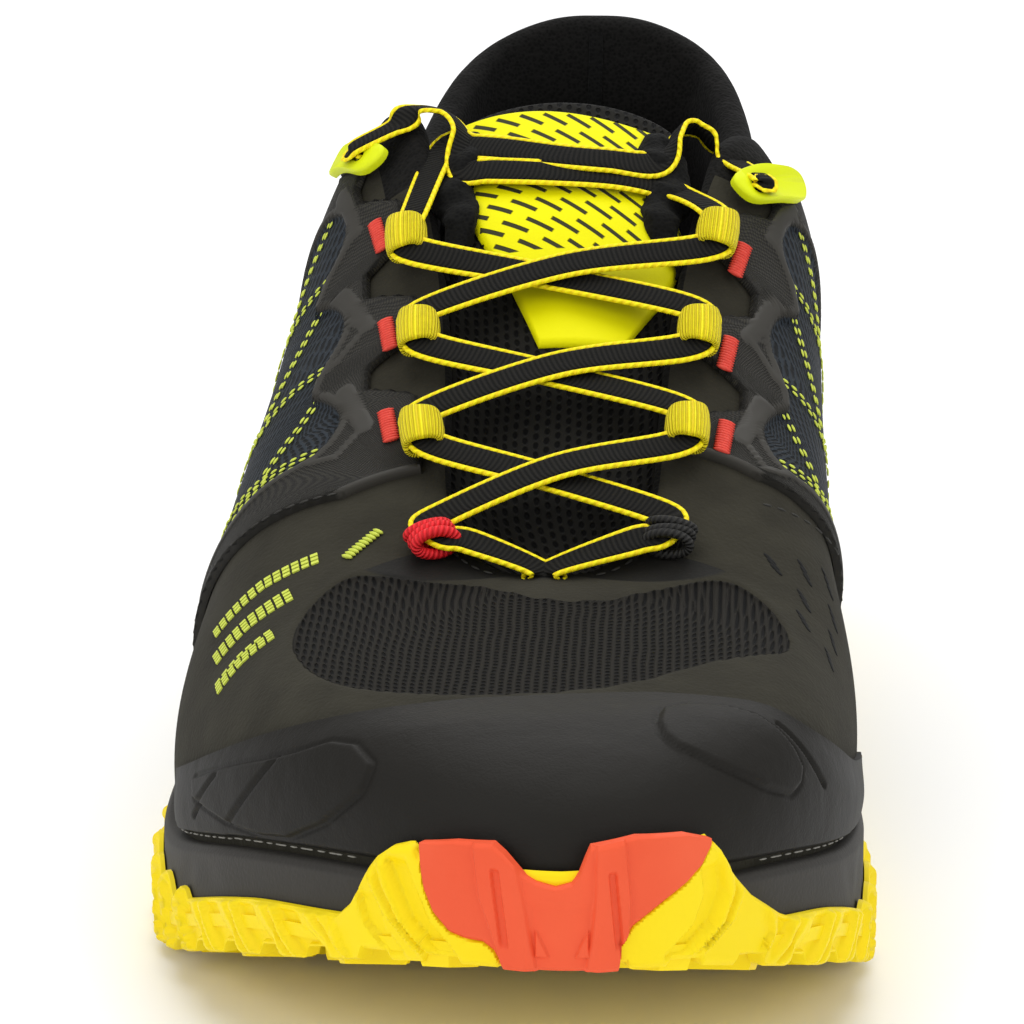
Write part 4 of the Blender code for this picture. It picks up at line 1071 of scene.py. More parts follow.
def sweep(name, path, side, up, shape, material, sharp=50):
    """A cross-section carried along a path; side and up span it at each point of the path."""
    rows = []
    for i in range(len(path)):
        flat = shape(i / (len(path) - 1))
        rows.append(path[i] + side[i] * flat[:, :1] + up[i] * flat[:, 1:])
    grid = np.array(rows)
    count, around_count = grid.shape[:2]
    number = np.arange(count * around_count).reshape(count, around_count)
    faces = grid_faces(number, True, False)
    girth = np.linspace(0, 1, around_count + 1)
    uv = np.stack(np.meshgrid(girth, run_of(path)), -1)
    uv_faces = grid_faces(uv_numbers(count, around_count, True, False), False, False)
    points = grid.reshape(-1, 3)
    tips = np.array([grid[0].mean(0), grid[-1].mean(0)])
    base = len(points)
    points = np.concatenate([points, tips])
    caps = []
    for ring, tip, turned in ((number[0], base, False), (number[-1], base + 1, True)):
        for k in range(0, around_count, 2):
            quad = [ring[k], tip, ring[(k + 2) % around_count], ring[(k + 1) % around_count]]
            caps.append(quad[::-1] if turned else quad)
    faces = np.concatenate([faces, np.array(caps)])
    uv_faces = np.concatenate([uv_faces, np.zeros((len(caps), 4), int)])
    return make_mesh(name, points, faces, material, None, uv, uv_faces, sharp)


def oval(width, height, sides=12, power=1.0):
    """Points of an oval section; power under 1 makes it squarer."""
    angle = TAU * np.arange(sides) / sides
    c, s = np.cos(angle), np.sin(angle)
    x = np.sign(c) * np.abs(c) ** power * width / 2
    y = np.sign(s) * np.abs(s) ** power * height / 2
    return np.stack([x, y], -1)


def smooth_path(points, count):
    """Catmull-Rom curve through points, evenly spaced along its length."""
    points = np.asarray(points, float)
    ends = np.concatenate([[2 * points[0] - points[1]], points, [2 * points[-1] - points[-2]]])
    dense = []
    for i in range(len(points) - 1):
        p0, p1, p2, p3 = ends[i:i + 4]
        t = np.linspace(0, 1, 24, endpoint=False)[:, None]
        dense.append(
            0.5 * (2 * p1 + (p2 - p0) * t + (2 * p0 - 5 * p1 + 4 * p2 - p3) * t**2
                   + (3 * p1 - p0 - 3 * p2 + p3) * t**3)
        )
    dense = np.concatenate(dense + [points[-1:]])
    run = run_of(dense)
    return read_line(np.linspace(0, run[-1], count), run, dense)


def unit(vectors):
    return vectors / np.maximum(np.linalg.norm(vectors, axis=-1, keepdims=True), 1e-12)


def join(name, pieces):
    """Several pieces made one; the first one's mesh takes the others' in."""
    with bpy.context.temp_override(
        active_object=pieces[0], object=pieces[0],
        selected_objects=pieces, selected_editable_objects=pieces,
    ):
        bpy.ops.object.join()
    pieces[0].name = name
    return pieces[0]


def cap_finish():
    """Smooth matt rubber of the toe cap and heel counter."""
    made = Finish("Matt black rubber", 0.5, Specular_IOR_Level=0.12)
    cloud = made.noise(28, 3)
    grain = made.noise(2600, 2)
    made.colour(made.blend(cloud, linear("191815"), linear("22201D")))
    made.dull(made.between(cloud, 0.5, 0.62))
    made.normal(made.bump(grain, 0.00006, made.bump(made.noise(160, 3), 0.0003)))
    return made.material


def midsole_finish():
    """Moulded foam of the midsole."""
    made = Finish("Dark moulded foam", 0.68, Specular_IOR_Level=0.25)
    cloud = made.noise(45, 3)
    made.colour(made.blend(cloud, linear("2E2C29"), linear("393733")))
    made.normal(made.bump(made.noise(1500, 3), 0.0001))
    return made.material


def rubber_finish(name, deep, light):
    """Bright outsole rubber."""
    made = Finish(name, 0.5, Specular_IOR_Level=0.2)
    cloud = made.noise(60, 3)
    made.colour(made.blend(cloud, linear(deep), linear(light)))
    made.dull(made.between(made.noise(300, 2), 0.42, 0.58))
    made.normal(made.bump(made.noise(900, 2), 0.00005))
    return made.material


def upper_finish():
    """Vamp mesh in its panel, brushed microfibre round it and smooth fused film by the throat."""
    sheen = {"Sheen_Weight": 0.02, "Sheen_Roughness": 0.5}
    made = Finish("Knit mesh and microfibre", 0.85, Specular_IOR_Level=0.08, **sheen)
    spot = made.parts(made.place("UV"))
    u = wobble(made, spot[0], 90, 0.0009)
    v = wobble(made, spot[1], 90, 0.0009)
    yarn = knit_holes(made, u, v, KNIT_RIB, KNIT_PITCH)
    ribs = made.maths("COSINE", made.maths("MULTIPLY", u, TAU / KNIT_RIB))
    panel = made.step(made.field("panel"), -0.15, 0.15)
    film = made.step(made.field("film"), -0.4, 0.4)
    fuzz = made.noise(1400, 4)
    patch = made.noise(120, 3)
    nap = made.blend(patch, linear("26241E"), linear("3A382F"))
    smooth = made.blend(patch, linear("12110F"), linear("1C1B18"))
    cover = made.blend(film, nap, smooth)
    knit = made.blend(yarn, linear("010101"), linear("211F1B"))
    made.colour(made.blend(panel, cover, knit))
    made.dull(made.between(panel, made.between(film, 0.93, 0.6), 0.85))
    knit_height = made.maths("ADD", made.maths("MULTIPLY", yarn, 0.8), made.maths("MULTIPLY", ribs, 0.2))
    cover_height = made.maths("MULTIPLY", fuzz, made.between(film, 0.3, 0.1))
    height = made.between(panel, cover_height, knit_height)
    made.normal(made.bump(height, 0.0007))
    return made.material


def cage_finish():
    """Coated weave of the midfoot panel, with dark blue mesh in its windows."""
    made = Finish("Coated weave", 0.62, Specular_IOR_Level=0.2)
    spot = made.parts(made.place("UV"))
    dots = weave_dots(made, spot[0], spot[1], CAGE_PITCH)
    net = knit_holes(made, spot[0], spot[1], 0.0016, 0.0021, 0.5)
    window = made.step(made.field("window"), -0.2, 0.2)
    ridge = made.step(made.field("ridge"), 0.25, 0.75)
    cloud = made.noise(130, 3)
    woven = made.blend(made.step(dots, -0.5, 0.8), linear("191816"), linear("33312B"))
    moulded = made.blend(cloud, linear("2F2D29"), linear("3A3833"))
    mesh = made.blend(net, linear("0A0D10"), linear("252C33"))
    plain = made.blend(ridge, woven, moulded)
    made.colour(made.blend(window, plain, mesh))
    height = made.between(window, made.maths("MULTIPLY", dots, made.between(ridge, 0.22, 0.0)), net)
    made.normal(made.bump(height, 0.00035))
    made.dull(made.between(ridge, 0.66, 0.48))
    return made.material


def padding_finish(name, deep, light, rib, pitch, uses_uv=True):
    """Soft mesh over foam: collar, lining and tongue."""
    made = Finish(name, 0.9, Sheen_Weight=0.02, Sheen_Roughness=0.6, Specular_IOR_Level=0.1)
    spot = made.parts(made.place("UV" if uses_uv else "Object"))
    u = wobble(made, spot[0], 120, 0.0007)
    v = wobble(made, spot[1], 120, 0.0007)
    yarn = knit_holes(made, u, v, rib, pitch)
    made.colour(made.blend(yarn, linear(deep), linear(light)))
    made.normal(made.bump(yarn, 0.0004, made.bump(made.noise(70, 3), 0.0012)))
    return made.material


def plate_finish():
    """Bright plate of the tongue with rows of dark slanting dashes on its upper part."""
    made = Finish("Bright tongue plate", 0.55, Specular_IOR_Level=0.1)
    spot = made.parts(made.place("UV"))
    turn = math.radians(PLATE_LEAN)
    along_line = made.maths("ADD", made.maths("MULTIPLY", spot[0], math.cos(turn)),
                            made.maths("MULTIPLY", spot[1], math.sin(turn)))
    over_line = made.maths("SUBTRACT", made.maths("MULTIPLY", spot[1], math.cos(turn)),
                           made.maths("MULTIPLY", spot[0], math.sin(turn)))
    row = made.maths("DIVIDE", over_line, PLATE_ROW)
    shifted = made.maths("ADD", made.maths("DIVIDE", along_line, PLATE_DASH),
                         made.maths("MULTIPLY", made.maths("FLOOR", row), 0.43))
    across = made.maths("ABSOLUTE", made.maths("SUBTRACT", made.maths("FRACT", shifted), 0.5))
    along = made.maths("ABSOLUTE", made.maths("SUBTRACT", made.maths("FRACT", row), 0.5))
    dash = made.maths("MULTIPLY", made.step(across, 0.33, 0.29), made.step(along, 0.20, 0.15))
    dash = made.maths("MULTIPLY", dash, made.step(made.field("dashes"), 0.45, 0.55))
    bright = made.blend(made.noise(80, 2), linear("E2DC00"), linear("ECE800"))
    made.colour(made.blend(dash, bright, linear("35351F")))
    grain = made.bump(made.noise(1300, 2), 0.00005)
    made.normal(made.bump(made.maths("MULTIPLY", dash, -1.0), 0.0004, grain))
    return made.material


def thread_finish(name, deep, light, roughness=0.55):
    """Twisted or stitched thread."""
    made = Finish(name, roughness, Specular_IOR_Level=0.3)
    made.colour(made.blend(made.noise(900, 2), linear(deep), linear(light)))
    made.normal(made.bump(made.noise(3000, 2), 0.00008))
    return made.material


def cord_finish(name, deep, light, twist=0.0011, turns=2.0):
    """Round cord with its plies running round it; the section's UV runs round, then along."""
    made = Finish(name, 0.6, Specular_IOR_Level=0.3)
    spot = made.parts(made.place("UV"))
    angle = made.maths("MULTIPLY", spot[0], TAU * turns)
    along = made.maths("MULTIPLY", spot[1], TAU / twist)
    plies = made.maths("SINE", made.maths("ADD", angle, along))
    made.colour(made.blend(made.step(plies, -0.9, 0.5), linear(deep), linear(light)))
    made.normal(made.bump(plies, 0.0001))
    return made.material


def lace_finish():
    """Flat black lace, woven in a fine herringbone."""
    made = Finish("Black flat lace", 0.85, Specular_IOR_Level=0.15)
    spot = made.parts(made.place("UV"))
    across = made.maths("ABSOLUTE", made.maths("SINE", made.maths("MULTIPLY", spot[0], TAU)))
    along = made.maths("MULTIPLY", spot[1], TAU / 0.0008)
    slant = made.maths("ADD", along, made.maths("MULTIPLY", across, 6.0))
    rows = made.maths("SINE", slant)
    made.colour(made.blend(made.step(rows, -0.8, 0.8), linear("0B0B0A"), linear("1B1A17")))
    made.normal(made.bump(rows, 0.00005, made.bump(made.noise(2200, 2), 0.00006)))
    return made.material


def webbing_finish():
    """Bright ribbed webbing of the lace loops."""
    made = Finish("Bright ribbed webbing", 0.6, Specular_IOR_Level=0.3)
    spot = made.parts(made.place("UV"))
    ribs = made.maths("SINE", made.maths("MULTIPLY", spot[1], TAU * 30))
    made.colour(made.blend(made.step(ribs, -0.9, 0.2), linear("E2C800"), linear("F6E600")))
    made.normal(made.bump(ribs, 0.0002, made.bump(made.noise(2500, 2), 0.0001)))
    return made.material


def floor_finish():
    made = Finish("Pale floor", 0.9)
    made.colour(linear("FAFAFA"))
    return made.material


def make_lining(name, deep, light):
    """Fine soft cloth of the lining and folds: small even grain and slow shading."""
    made = Finish(name, 0.9, Sheen_Weight=0.02, Sheen_Roughness=0.6, Specular_IOR_Level=0.1)
    grain = made.cells(1500)
    patch = made.noise(60, 3)
    shade = made.maths("MULTIPLY", made.step(grain, 0.1, 0.7), made.between(patch, 0.6, 1.0))
    made.colour(made.blend(shade, linear(deep), linear(light)))
    soft = made.bump(made.noise(85, 3), 0.0012)
    made.normal(made.bump(grain, 0.00012, soft))
    return made.material


def sole_top(turns):
    """Height of the outsole's plain top edge: the fine flanks at the toe, the solid's edge elsewhere."""
    knots = np.array([row[0] for row in SOLE_TOP])
    heights = np.array([row[1] for row in SOLE_TOP]) * MM
    fine = np.interp(turns, knots, heights)
    share = ease(turns, knots[0] - 0.02, knots[0]) * ease(turns, knots[-1] + 0.02, knots[-1])
    return outsole_edge(turns) * (1 - share) + fine * share


def toe_low(turns):
    """Height of the toe piece's lower boundary."""
    return np.interp(turns, [row[0] for row in TOE_LOW], [row[1] for row in TOE_LOW]) * MM


def sole_relief(run, share):
    """Slanting ribs and scoops of the outsole's side, in millimetres; positive stands proud."""
    slant = SOLE_LEAN * (1 - share) ** 1.4
    phase = np.mod((run - slant) / TOOTH_PITCH, 1)
    ridge = np.zeros_like(phase)
    for place, half in ((0.16, 0.06), (0.36, 0.05)):
        ridge = np.maximum(ridge, ease(np.abs(phase - place), half + 0.05, half))
    scoop = ease(phase, 0.40, 0.52) * ease(phase, 1.0, 0.72)
    between = ease(np.abs(phase - 0.26), 0.07, 0.03)
    return 0.45 * ridge - 1.0 * scoop - 0.5 * between


def ring_of(route, count):
    """Evenly spaced points round a closed outline."""
    flat = rounded(np.array(route), 2)
    closed = np.concatenate([flat, flat[:1]])
    steps = np.linalg.norm(np.diff(closed, axis=0) * HOOK_STRETCH, axis=1)
    run = np.concatenate([[0], np.cumsum(steps)])
    spots = np.linspace(0, run[-1], count, endpoint=False)
    return read_line(spots, run, closed)


def on_tongue(share, across, lift):
    """A place over the tongue and the way up from it."""
    points, down = tongue_points(share, 24), tongue_down(share, 24)
    spots = np.linspace(-1, 1, 25)
    place = read_line(across, spots, points)
    up = -unit(read_line(across, spots, down))
    return place + up * lift * MM, up


def ride(piece, slot, *nodes):
    """Fasten a finished piece to the shoe."""
    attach(piece, "root")
    if nodes:
        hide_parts(*nodes)
    return piece


def fine_turns(count):
    return whole_loop(along_outline(count))


def film_edge(turn):
    """Lowest climb of the smooth film between the vamp mesh and the throat."""
    side = np.abs(turn - 0.5)
    return 0.99 - 0.20 * ease(side, 0.08, 0.17)


def make_upper_skin():
    """Outer skin, rolled edge and lining in one hollow shell."""
    turns = fine_turns(FINE_COLUMNS)
    climbs = np.linspace(0, 1, FINE_ROWS)
    turn, climb = np.meshgrid(turns, climbs)
    edge = 1 - 0.024 * ease(top_share(turns), 0.47, 0.36)
    climb = climb * edge
    base = upper_point(turn, climb)
    panel = outline_gap(base, turn, climb, rounded(MESH_PANEL), 0.0)
    covered = 1 - ease(panel, -0.5, 0.5)
    film = (climb - film_edge(turn)) * 60
    side_fade = ease(np.abs(turn - 0.5), 0.15, 0.13)
    film = np.where(side_fade > 0, film, -20)
    front = ease(np.abs(turn - 0.5), 0.235, 0.18)
    rise = (covered * 0.42 + ease(panel, -2.6, -0.4) * covered * 0.12) * MM * front
    outer = upper_point(turn, climb, rise)
    bed = raised(outline(turns, UPPER_INSET)[0], bed_height(turns) + CLEARANCE)
    outer = np.concatenate([bed[None], outer])
    wall = upper_wall(turns, np.ones_like(turns))
    ridge_top, ridge_back = upper_point(turns, edge), upper_point(turns, edge, -wall)
    rise_way = unit(ridge_top - upper_point(turns, edge - 0.03))
    roll = []
    for angle in np.linspace(0, math.pi, 13)[1:-1]:
        middle, half = (ridge_top + ridge_back) / 2, (ridge_top - ridge_back) / 2
        lift = (wall * 0.5 * math.sin(angle))[:, None]
        roll.append(middle + half * math.cos(angle) + rise_way * lift)
    back_turn, back_climb = np.meshgrid(turns, np.linspace(1, 0, 26))
    back_climb = back_climb * edge
    back = upper_point(back_turn, back_climb, -upper_wall(back_turn, back_climb))
    under = raised(outline(turns, UPPER_INSET + UPPER_WALL)[0], bed_height(turns) + CLEARANCE)
    inner = np.concatenate([np.array(roll), back, under[None]])[::-1]
    side_x = outer[..., 0]
    uv = surface_uv(outer)
    uv[..., 0] = side_x
    fields = {"panel": np.concatenate([panel[:1], panel]), "film": np.concatenate([film[:1], film])}
    skin = shell("upper_skin", outer, inner, UPPER, True, fields, uv, sharp=60)
    skin.data.materials.append(LINING)
    numbers = np.arange(len(skin.data.polygons)) // len(turns)
    collar_row = len(outer) - 1
    around_collar = top_share(turns) < 0.435
    column = np.arange(len(skin.data.polygons)) % len(turns)
    cuff = around_collar[column] & (numbers >= collar_row - COLLAR_ROWS)
    lining = (numbers >= collar_row + 1) | cuff
    skin.data.polygons.foreach_set("material_index", lining.astype(np.int32))
    return ride(skin, "upper_fabric", "upper")


def patch_grid(turns, low, high, rows, out):
    """Grid of a layer on the upper between two climbs; out may vary over it."""
    share = np.linspace(0, 1, rows + 1)[:, None]
    climb = low[None] + (high - low)[None] * share
    turn = np.broadcast_to(turns, climb.shape)
    return turn, climb, upper_point(turn, climb, out)


def make_toe_cap_skin():
    """Toe cap with its raised plates and grooves."""
    turns = np.linspace(0.5 - CAP_REACH, 0.5 + CAP_REACH, 360)
    low = rim_climb(turns)
    high = smooth_table(turns, CAP_TURNS, CAP_CLIMBS)
    turn, climb, base = patch_grid(turns, low, high, 70, LAYER_GAP + TOE_CAP_WALL)
    share = np.linspace(0, 1, 71)[:, None]
    up_gap = (high - climb) * 62
    out = 0.75 + 0.75 * ease(up_gap, 0.0, 7.0)
    ends = np.minimum(turn - turns[0], turns[-1] - turn) * 620
    out = out * (0.55 + 0.45 * ease(ends, 0, 6))
    for plate in CAP_PLATES:
        gap = outline_gap(base, turn, climb, rounded(plate, 1), LAYER_GAP + TOE_CAP_WALL)
        out = out + 0.6 * ease(gap, -0.35, 0.2) - 0.25 * ease(np.abs(gap + 0.6), 0.5, 0.1)
    for groove in CAP_GROOVES:
        gap = line_gap(base, groove, LAYER_GAP + TOE_CAP_WALL)
        out = out - 0.6 * ease(gap, 0.7, 0.15)
    out = out * ease(share, -0.02, 0.05) + 0.12
    outer = upper_point(turn, climb, LAYER_GAP + out * MM)
    inner = upper_point(turn, climb, 0.2 * MM)
    cap = shell("toe_cap_skin", outer, inner, CAP, sharp=60)
    return ride(cap, "cap_rubber", "toe_cap")


def smooth_table(spots, knots, values):
    """Values of a table read along a smooth line instead of a bent one."""
    dense = np.linspace(knots[0], knots[-1], 600)
    bent = np.interp(dense, knots, values)
    wide = int(600 * 0.045)
    window = np.hanning(2 * wide + 1)
    padded = np.concatenate([np.full(wide, bent[0]), bent, np.full(wide, bent[-1])])
    soft = np.convolve(padded, window / window.sum(), "valid")
    return np.interp(spots, dense, soft)


def side_turn(turn, side):
    return turn if side == "lateral" else 1 - np.asarray(turn)


def side_route(route, side):
    return [(side_turn(t, side), c) for t, c in route]


def make_cage_skin(side):
    """Midfoot panel: fingers to the lace loops, ridges, and windows of dark blue mesh."""
    rows = CAGE_LATERAL if side == "lateral" else CAGE_MEDIAL
    knots = np.array([r.turn for r in rows])[::-1]
    lows = np.array([r.low for r in rows])[::-1]
    tops = np.array([r.top for r in rows])[::-1]
    half = np.linspace(knots[0], knots[-1], 190)
    low = np.maximum(rim_climb(side_turn(half, side)), np.interp(half, knots, lows))
    high = np.interp(half, knots, tops)
    turns = side_turn(half, side)
    out = CAGE_GAP + CAGE_WALL
    turn, climb, base = patch_grid(turns, low, high, 84, out)
    window = outline_gap(base, turn, climb, rounded(side_route(WINDOW, side), 3), out)
    border = np.concatenate([base[0], base[:, -1], base[-1], base[:, 0]])
    edge = nearest(base, border[::2]) / MM
    ridge = ease(np.abs(window + 1.1), 1.2, 0.4) * 0.8
    for chevron in CHEVRONS:
        near = line_gap(base, side_route(chevron, side), out)
        ridge = np.maximum(ridge, ease(near, 1.0, 0.3))
    for stripe in CHEVRON_STRIPES:
        near = line_gap(base, side_route(stripe, side), out)
        ridge = np.maximum(ridge, ease(near, 1.9, 1.3))
    front = line_gap(base, list(zip(turn[:, -1], climb[:, -1])), out)
    piping = ease(front, 1.6, 0.5)
    height = CAGE_WALL / MM - 0.25 + 0.32 * ridge + 0.45 * piping - 0.75 * ease(window, -0.5, 0.6)
    height = height - 0.55 * ease(edge, 0.9, 0.0)
    outer = upper_point(turn, climb, CAGE_GAP + height * MM)
    inner = upper_point(turn, climb, 0.35 * MM)
    fields = {"window": window, "ridge": np.maximum(ridge, piping)}
    cage = shell("cage_skin_" + side, outer, inner, CAGE, False, fields, surface_uv(outer), sharp=60)
    return ride(cage, "cage_fabric", "cage_" + side)


def make_cage_dashes(side):
    """Rows of bright dashes over the windows."""
    out = CAGE_GAP + 0.42 * MM
    rows = []
    for route, count in WINDOW_LINES:
        for n in range(count):
            shift = (n - (count - 1) / 2) * 1.15 * MM
            rows.append(surface_row(side_route(route, side), 2.0 * MM, out, shift=shift))
    name = "window_dashes_" + side
    return ride(threads(name, NEON_THREAD, rows, 1.45 * MM, 0.62 * MM, 0.35 * MM), "webbing")


def make_bartacks(side):
    """Red bar of stitches outboard of each lace loop."""
    rows = []
    for turn, climb in BARTACKS[side]:
        middle_turn = side_turn(turn, side)
        here = upper_point(middle_turn, climb, CAGE_GAP + CAGE_WALL + 0.15 * MM)
        rise = unit(upper_point(middle_turn, climb + 0.02) - upper_point(middle_turn, climb))
        facing = upper_normal(middle_turn, climb)
        along = np.cross(facing, rise)
        for n in range(BARTACK_THREADS):
            shift = (n - (BARTACK_THREADS - 1) / 2) * 0.60 * MM
            rows.append(((here + along * shift)[None], rise[None], facing[None]))
    return ride(threads("bartacks_" + side, RED_THREAD, rows, 2.9 * MM, 0.68 * MM, 0.8 * MM), "red_cord")


def make_seam_threads():
    """Stitch lines along the throat, the panels and the collar."""
    rows = []
    for side in ("lateral", "medial"):
        for route, out in SEAM_LINES:
            rows.append(surface_row(side_route(route, side), 2.2 * MM, out))
    return ride(threads("seam_threads", DARK_THREAD, rows, 1.7 * MM, 0.42 * MM, 0.34 * MM), "upper_fabric")


def make_glue_line():
    """Fine pale dashes where the toe cap meets the midsole."""
    rows = []
    for start, end in ((0.338, 0.425), (0.58, 0.660)):
        turns = np.linspace(start, end, 80)
        places = upper_point(turns, rim_climb(turns), LAYER_GAP + 0.75 * MM) - UP * 0.25 * MM
        run = run_of(places)
        spots = np.arange(1.0 * MM, run[-1], GLUE_PITCH)
        spots = spots + 0.6 * MM * np.sin(np.arange(len(spots)) * 2.1)
        lines = (places, unit(np.gradient(places, axis=0)), upper_normal(turns, rim_climb(turns)))
        rows.append(tuple(read_line(spots, run, line) for line in lines))
    return ride(threads("glue_line", PALE_THREAD, rows, 1.9 * MM, 0.26 * MM, 0.3 * MM), "cap_rubber")


def make_side_bars():
    """Plain slanting bars of bright dashes on the lateral side of the forefoot."""
    rows = []
    for route, count in FOREFOOT_BARS:
        for n in range(count):
            shift = (n - (count - 1) / 2) * 1.1 * MM
            rows.append(surface_row(route, 1.5 * MM, 0.55 * MM, shift=shift))
    return ride(threads("forefoot_bars", NEON_THREAD, rows, 1.15 * MM, 0.7 * MM, 0.24 * MM, False), "webbing")


def make_vamp_tack():
    """Short slanting bar of bright stitches on the vamp."""
    row = surface_row(VAMP_TACK, 0.75 * MM, 0.75 * MM, turned=True)
    return ride(threads("vamp_tack", NEON_THREAD, [row], 2.2 * MM, 0.7 * MM, 0.7 * MM), "webbing")


def make_slits():
    """Small dark slits through the vamp's medial side and their raised lips."""
    rows = []
    for turn, climb in SLITS:
        for n in range(3):
            shift = (n - 1) * 0.0016
            route = [(turn + shift, climb - 0.025 + 0.012 * n), (turn + shift + 0.0014, climb + 0.012 * n)]
            rows.append(surface_row(route, 2.0 * MM, 0.45 * MM))
    return ride(threads("vamp_slits", HOLE, rows, 2.1 * MM, 0.85 * MM, 0.2 * MM), "upper_fabric")


def make_heel_counter_skin():
    turns = np.mod(np.linspace(-COUNTER_REACH, COUNTER_REACH, 140), 1)
    half = np.minimum(turns, 1 - turns)
    high = COUNTER_CLIMB * (1 - 0.45 * (half / COUNTER_REACH) ** 2)
    low = rim_climb(turns)
    share = np.linspace(0, 1, 41)[:, None]
    turn, climb = patch_grid(turns, low, high, 40, LAYER_GAP)[:2]
    ends = (COUNTER_REACH - half) * 560
    rim = np.minimum((high - climb) * 100, ends)
    out = 0.35 + 0.85 * ease(rim, 0, 3.5)
    for line in (0.30, 0.62):
        out = out - 0.35 * ease(np.abs(share - line + 0.12 * np.cos(turn * TAU * 4)) * 40, 0.9, 0.2)
    outer = upper_point(turn, climb, LAYER_GAP + out * MM)
    inner = upper_point(turn, climb, 0.2 * MM)
    counter = shell("heel_counter_skin", outer, inner, CAP, sharp=60)
    return ride(counter, "cap_rubber", "heel_counter")


def middle_line(turns, inset):
    """Points along the sole's middle, one for each turn, kept inside an inset outline."""
    share = share_of(turns)
    reach = LENGTH / 2 - inset
    place = np.clip(place_y(share), -reach, reach)
    return np.stack([outline_x(0.5) * share + outline_x(0.0) * (1 - share), place], -1)


def make_midsole_skin():
    """Midsole: curved side with shallow creases, rim and footbed well."""
    turns = fine_turns(300)
    place = place_y(share_of(turns))
    base = base_height(place) + OUTSOLE_BASE + CLEARANCE
    bite, bed = bite_height(turns), bed_height(turns)
    wall = OUTSOLE_WALL + CLEARANCE + 0.15 * MM
    rows = [raised(outline(turns, wall + 3.4 * MM)[0], base)]
    for share in np.linspace(0, 1, 26):
        height = base + 0.8 * MM + (bite - 0.35 * MM - base - 0.8 * MM) * share
        crease = np.zeros_like(turns)
        for start, slope, deep in CREASES:
            crease += deep * MM * ease(np.abs((turns - start) * 60 - (share - 0.5) * slope), 0.5, 0.0)
        round_off = 0.6 * MM * ease(np.full_like(turns, share), 0.85, 1.0) ** 2
        low_round = 0.4 * MM * ease(np.full_like(turns, share), 0.08, 0.0)
        inset = wall + 0.1 * MM + round_off + low_round + crease * math.sin(math.pi * share)
        rows.append(raised(outline(turns, inset)[0], height))
    rows.append(raised(outline(turns, wall + 1.1 * MM)[0], bite))
    inside_rim = UPPER_INSET - CLEARANCE
    middle = middle_line(turns, wall + 9 * MM)
    inner = [raised(outline(turns, inside_rim)[0], bite), raised(outline(turns, inside_rim)[0], bed)]
    for share in (0.35, 0.7, 0.94):
        edge = outline(turns, inside_rim)[0]
        inner.append(raised(edge + (middle - edge) * share, bed))
    for share in (0.94, 0.5):
        edge = outline(turns, wall + 3.4 * MM)[0]
        inner.append(raised(edge + (middle - edge) * share, base))
    foam = shell("midsole_skin", np.array(rows), np.array(inner)[::-1], FOAM, True, sharp=50)
    return ride(foam, "midsole_foam", "midsole")


def tooth_wave(run):
    """Toothed top edge of the outsole: 0 in a valley, 1 on a tooth."""
    phase = np.mod(run / TOOTH_PITCH, 1)
    return ease(phase, 0.0, 0.30) * (1 - ease(phase, 0.45, 1.0))


def make_outsole_wall():
    """Cupped wall of the outsole down to the tread: toothed edge, slanting ribs and scoops."""
    turns = np.unique(np.concatenate([np.linspace(0, 1, 520)[:-1], np.linspace(0.36, 0.64, 420)]))
    turns = turns[np.concatenate([[True], np.diff(turns) > 1e-5])]
    edge_line = outline(turns)[0]
    run = run_of(edge_line)
    run = np.minimum(run, run[-1] - run)
    place = place_y(share_of(turns))
    base, ground = base_height(place), ground_height(place)
    away = np.abs(turns - 0.5)
    toothed = ease(away, 0.122, 0.136)
    tooth = tooth_wave(run)
    top = sole_top(turns) + (tooth * TOOTH_TALL - 1.4 * MM) * toothed
    top = np.maximum(top, base + OUTSOLE_BASE + 1.7 * MM)
    behind = ease(away, 0.0525, 0.0495)
    top = top - behind * 1.6 * MM
    gap = np.mod((run - SOLE_LEAN) / TOOTH_PITCH, 1)
    low = ground + (0.35 + 1.7 * ease(gap, 0.44, 0.52) * ease(gap, 0.98, 0.86)) * MM
    low = np.minimum(low, base - 0.4 * MM)
    rows = []
    levels = np.concatenate([np.linspace(0, 0.9, 34), np.linspace(0.9, 1.0, 7)[1:]])
    for share in levels:
        height = low + (top - low) * share
        proud = sole_relief(run, np.full_like(turns, share))
        fade = min(1.0, share * 9) * min(1.0, (1 - share) * 7 + 0.1)
        covered = ease(height, toe_low(turns) - 0.1 * MM, toe_low(turns) + 0.1 * MM) * (away < 0.056)
        flank = ease(away, 0.085, 0.075)
        for groove, half, deep in SOLE_GROOVES:
            middle = np.interp(height / MM, [g[1] for g in groove], [g[0] for g in groove])
            inside = ease(height / MM, groove[0][1] - 0.8, groove[0][1] + 0.8) * ease(
                height / MM, groove[-1][1] + 0.8, groove[-1][1] - 0.8)
            proud = proud + deep * ease(np.abs(turns - middle) * 420, half + 0.45, half - 0.1) * inside
        proud = proud * (1 - flank) + flank * (proud - sole_relief(run, np.full_like(turns, share)))
        corner = 0.7 * (ease(share, 0.90, 1.0) ** 2) + 0.6 * ease(share, 0.05, 0.0)
        inset = (0.75 - proud * fade + corner + covered * 1.0) * MM
        rows.append(raised(outline(turns, inset)[0], height))
    wall = OUTSOLE_WALL - 0.15 * MM
    inner = [
        raised(outline(turns, 2.2 * MM)[0], top + 0.1 * MM),
        raised(outline(turns, wall)[0], top - 0.5 * MM),
        raised(outline(turns, wall + 0.1 * MM)[0], base + 1.5 * MM),
        raised(outline(turns, 4.2 * MM)[0], base + 0.4 * MM),
        raised(outline(turns, 3.4 * MM)[0], low),
    ]
    rubber = shell("outsole_wall", np.array(rows), np.array(inner)[::-1], YELLOW, True, sharp=40)
    return ride(rubber, "outsole_yellow", "outsole")


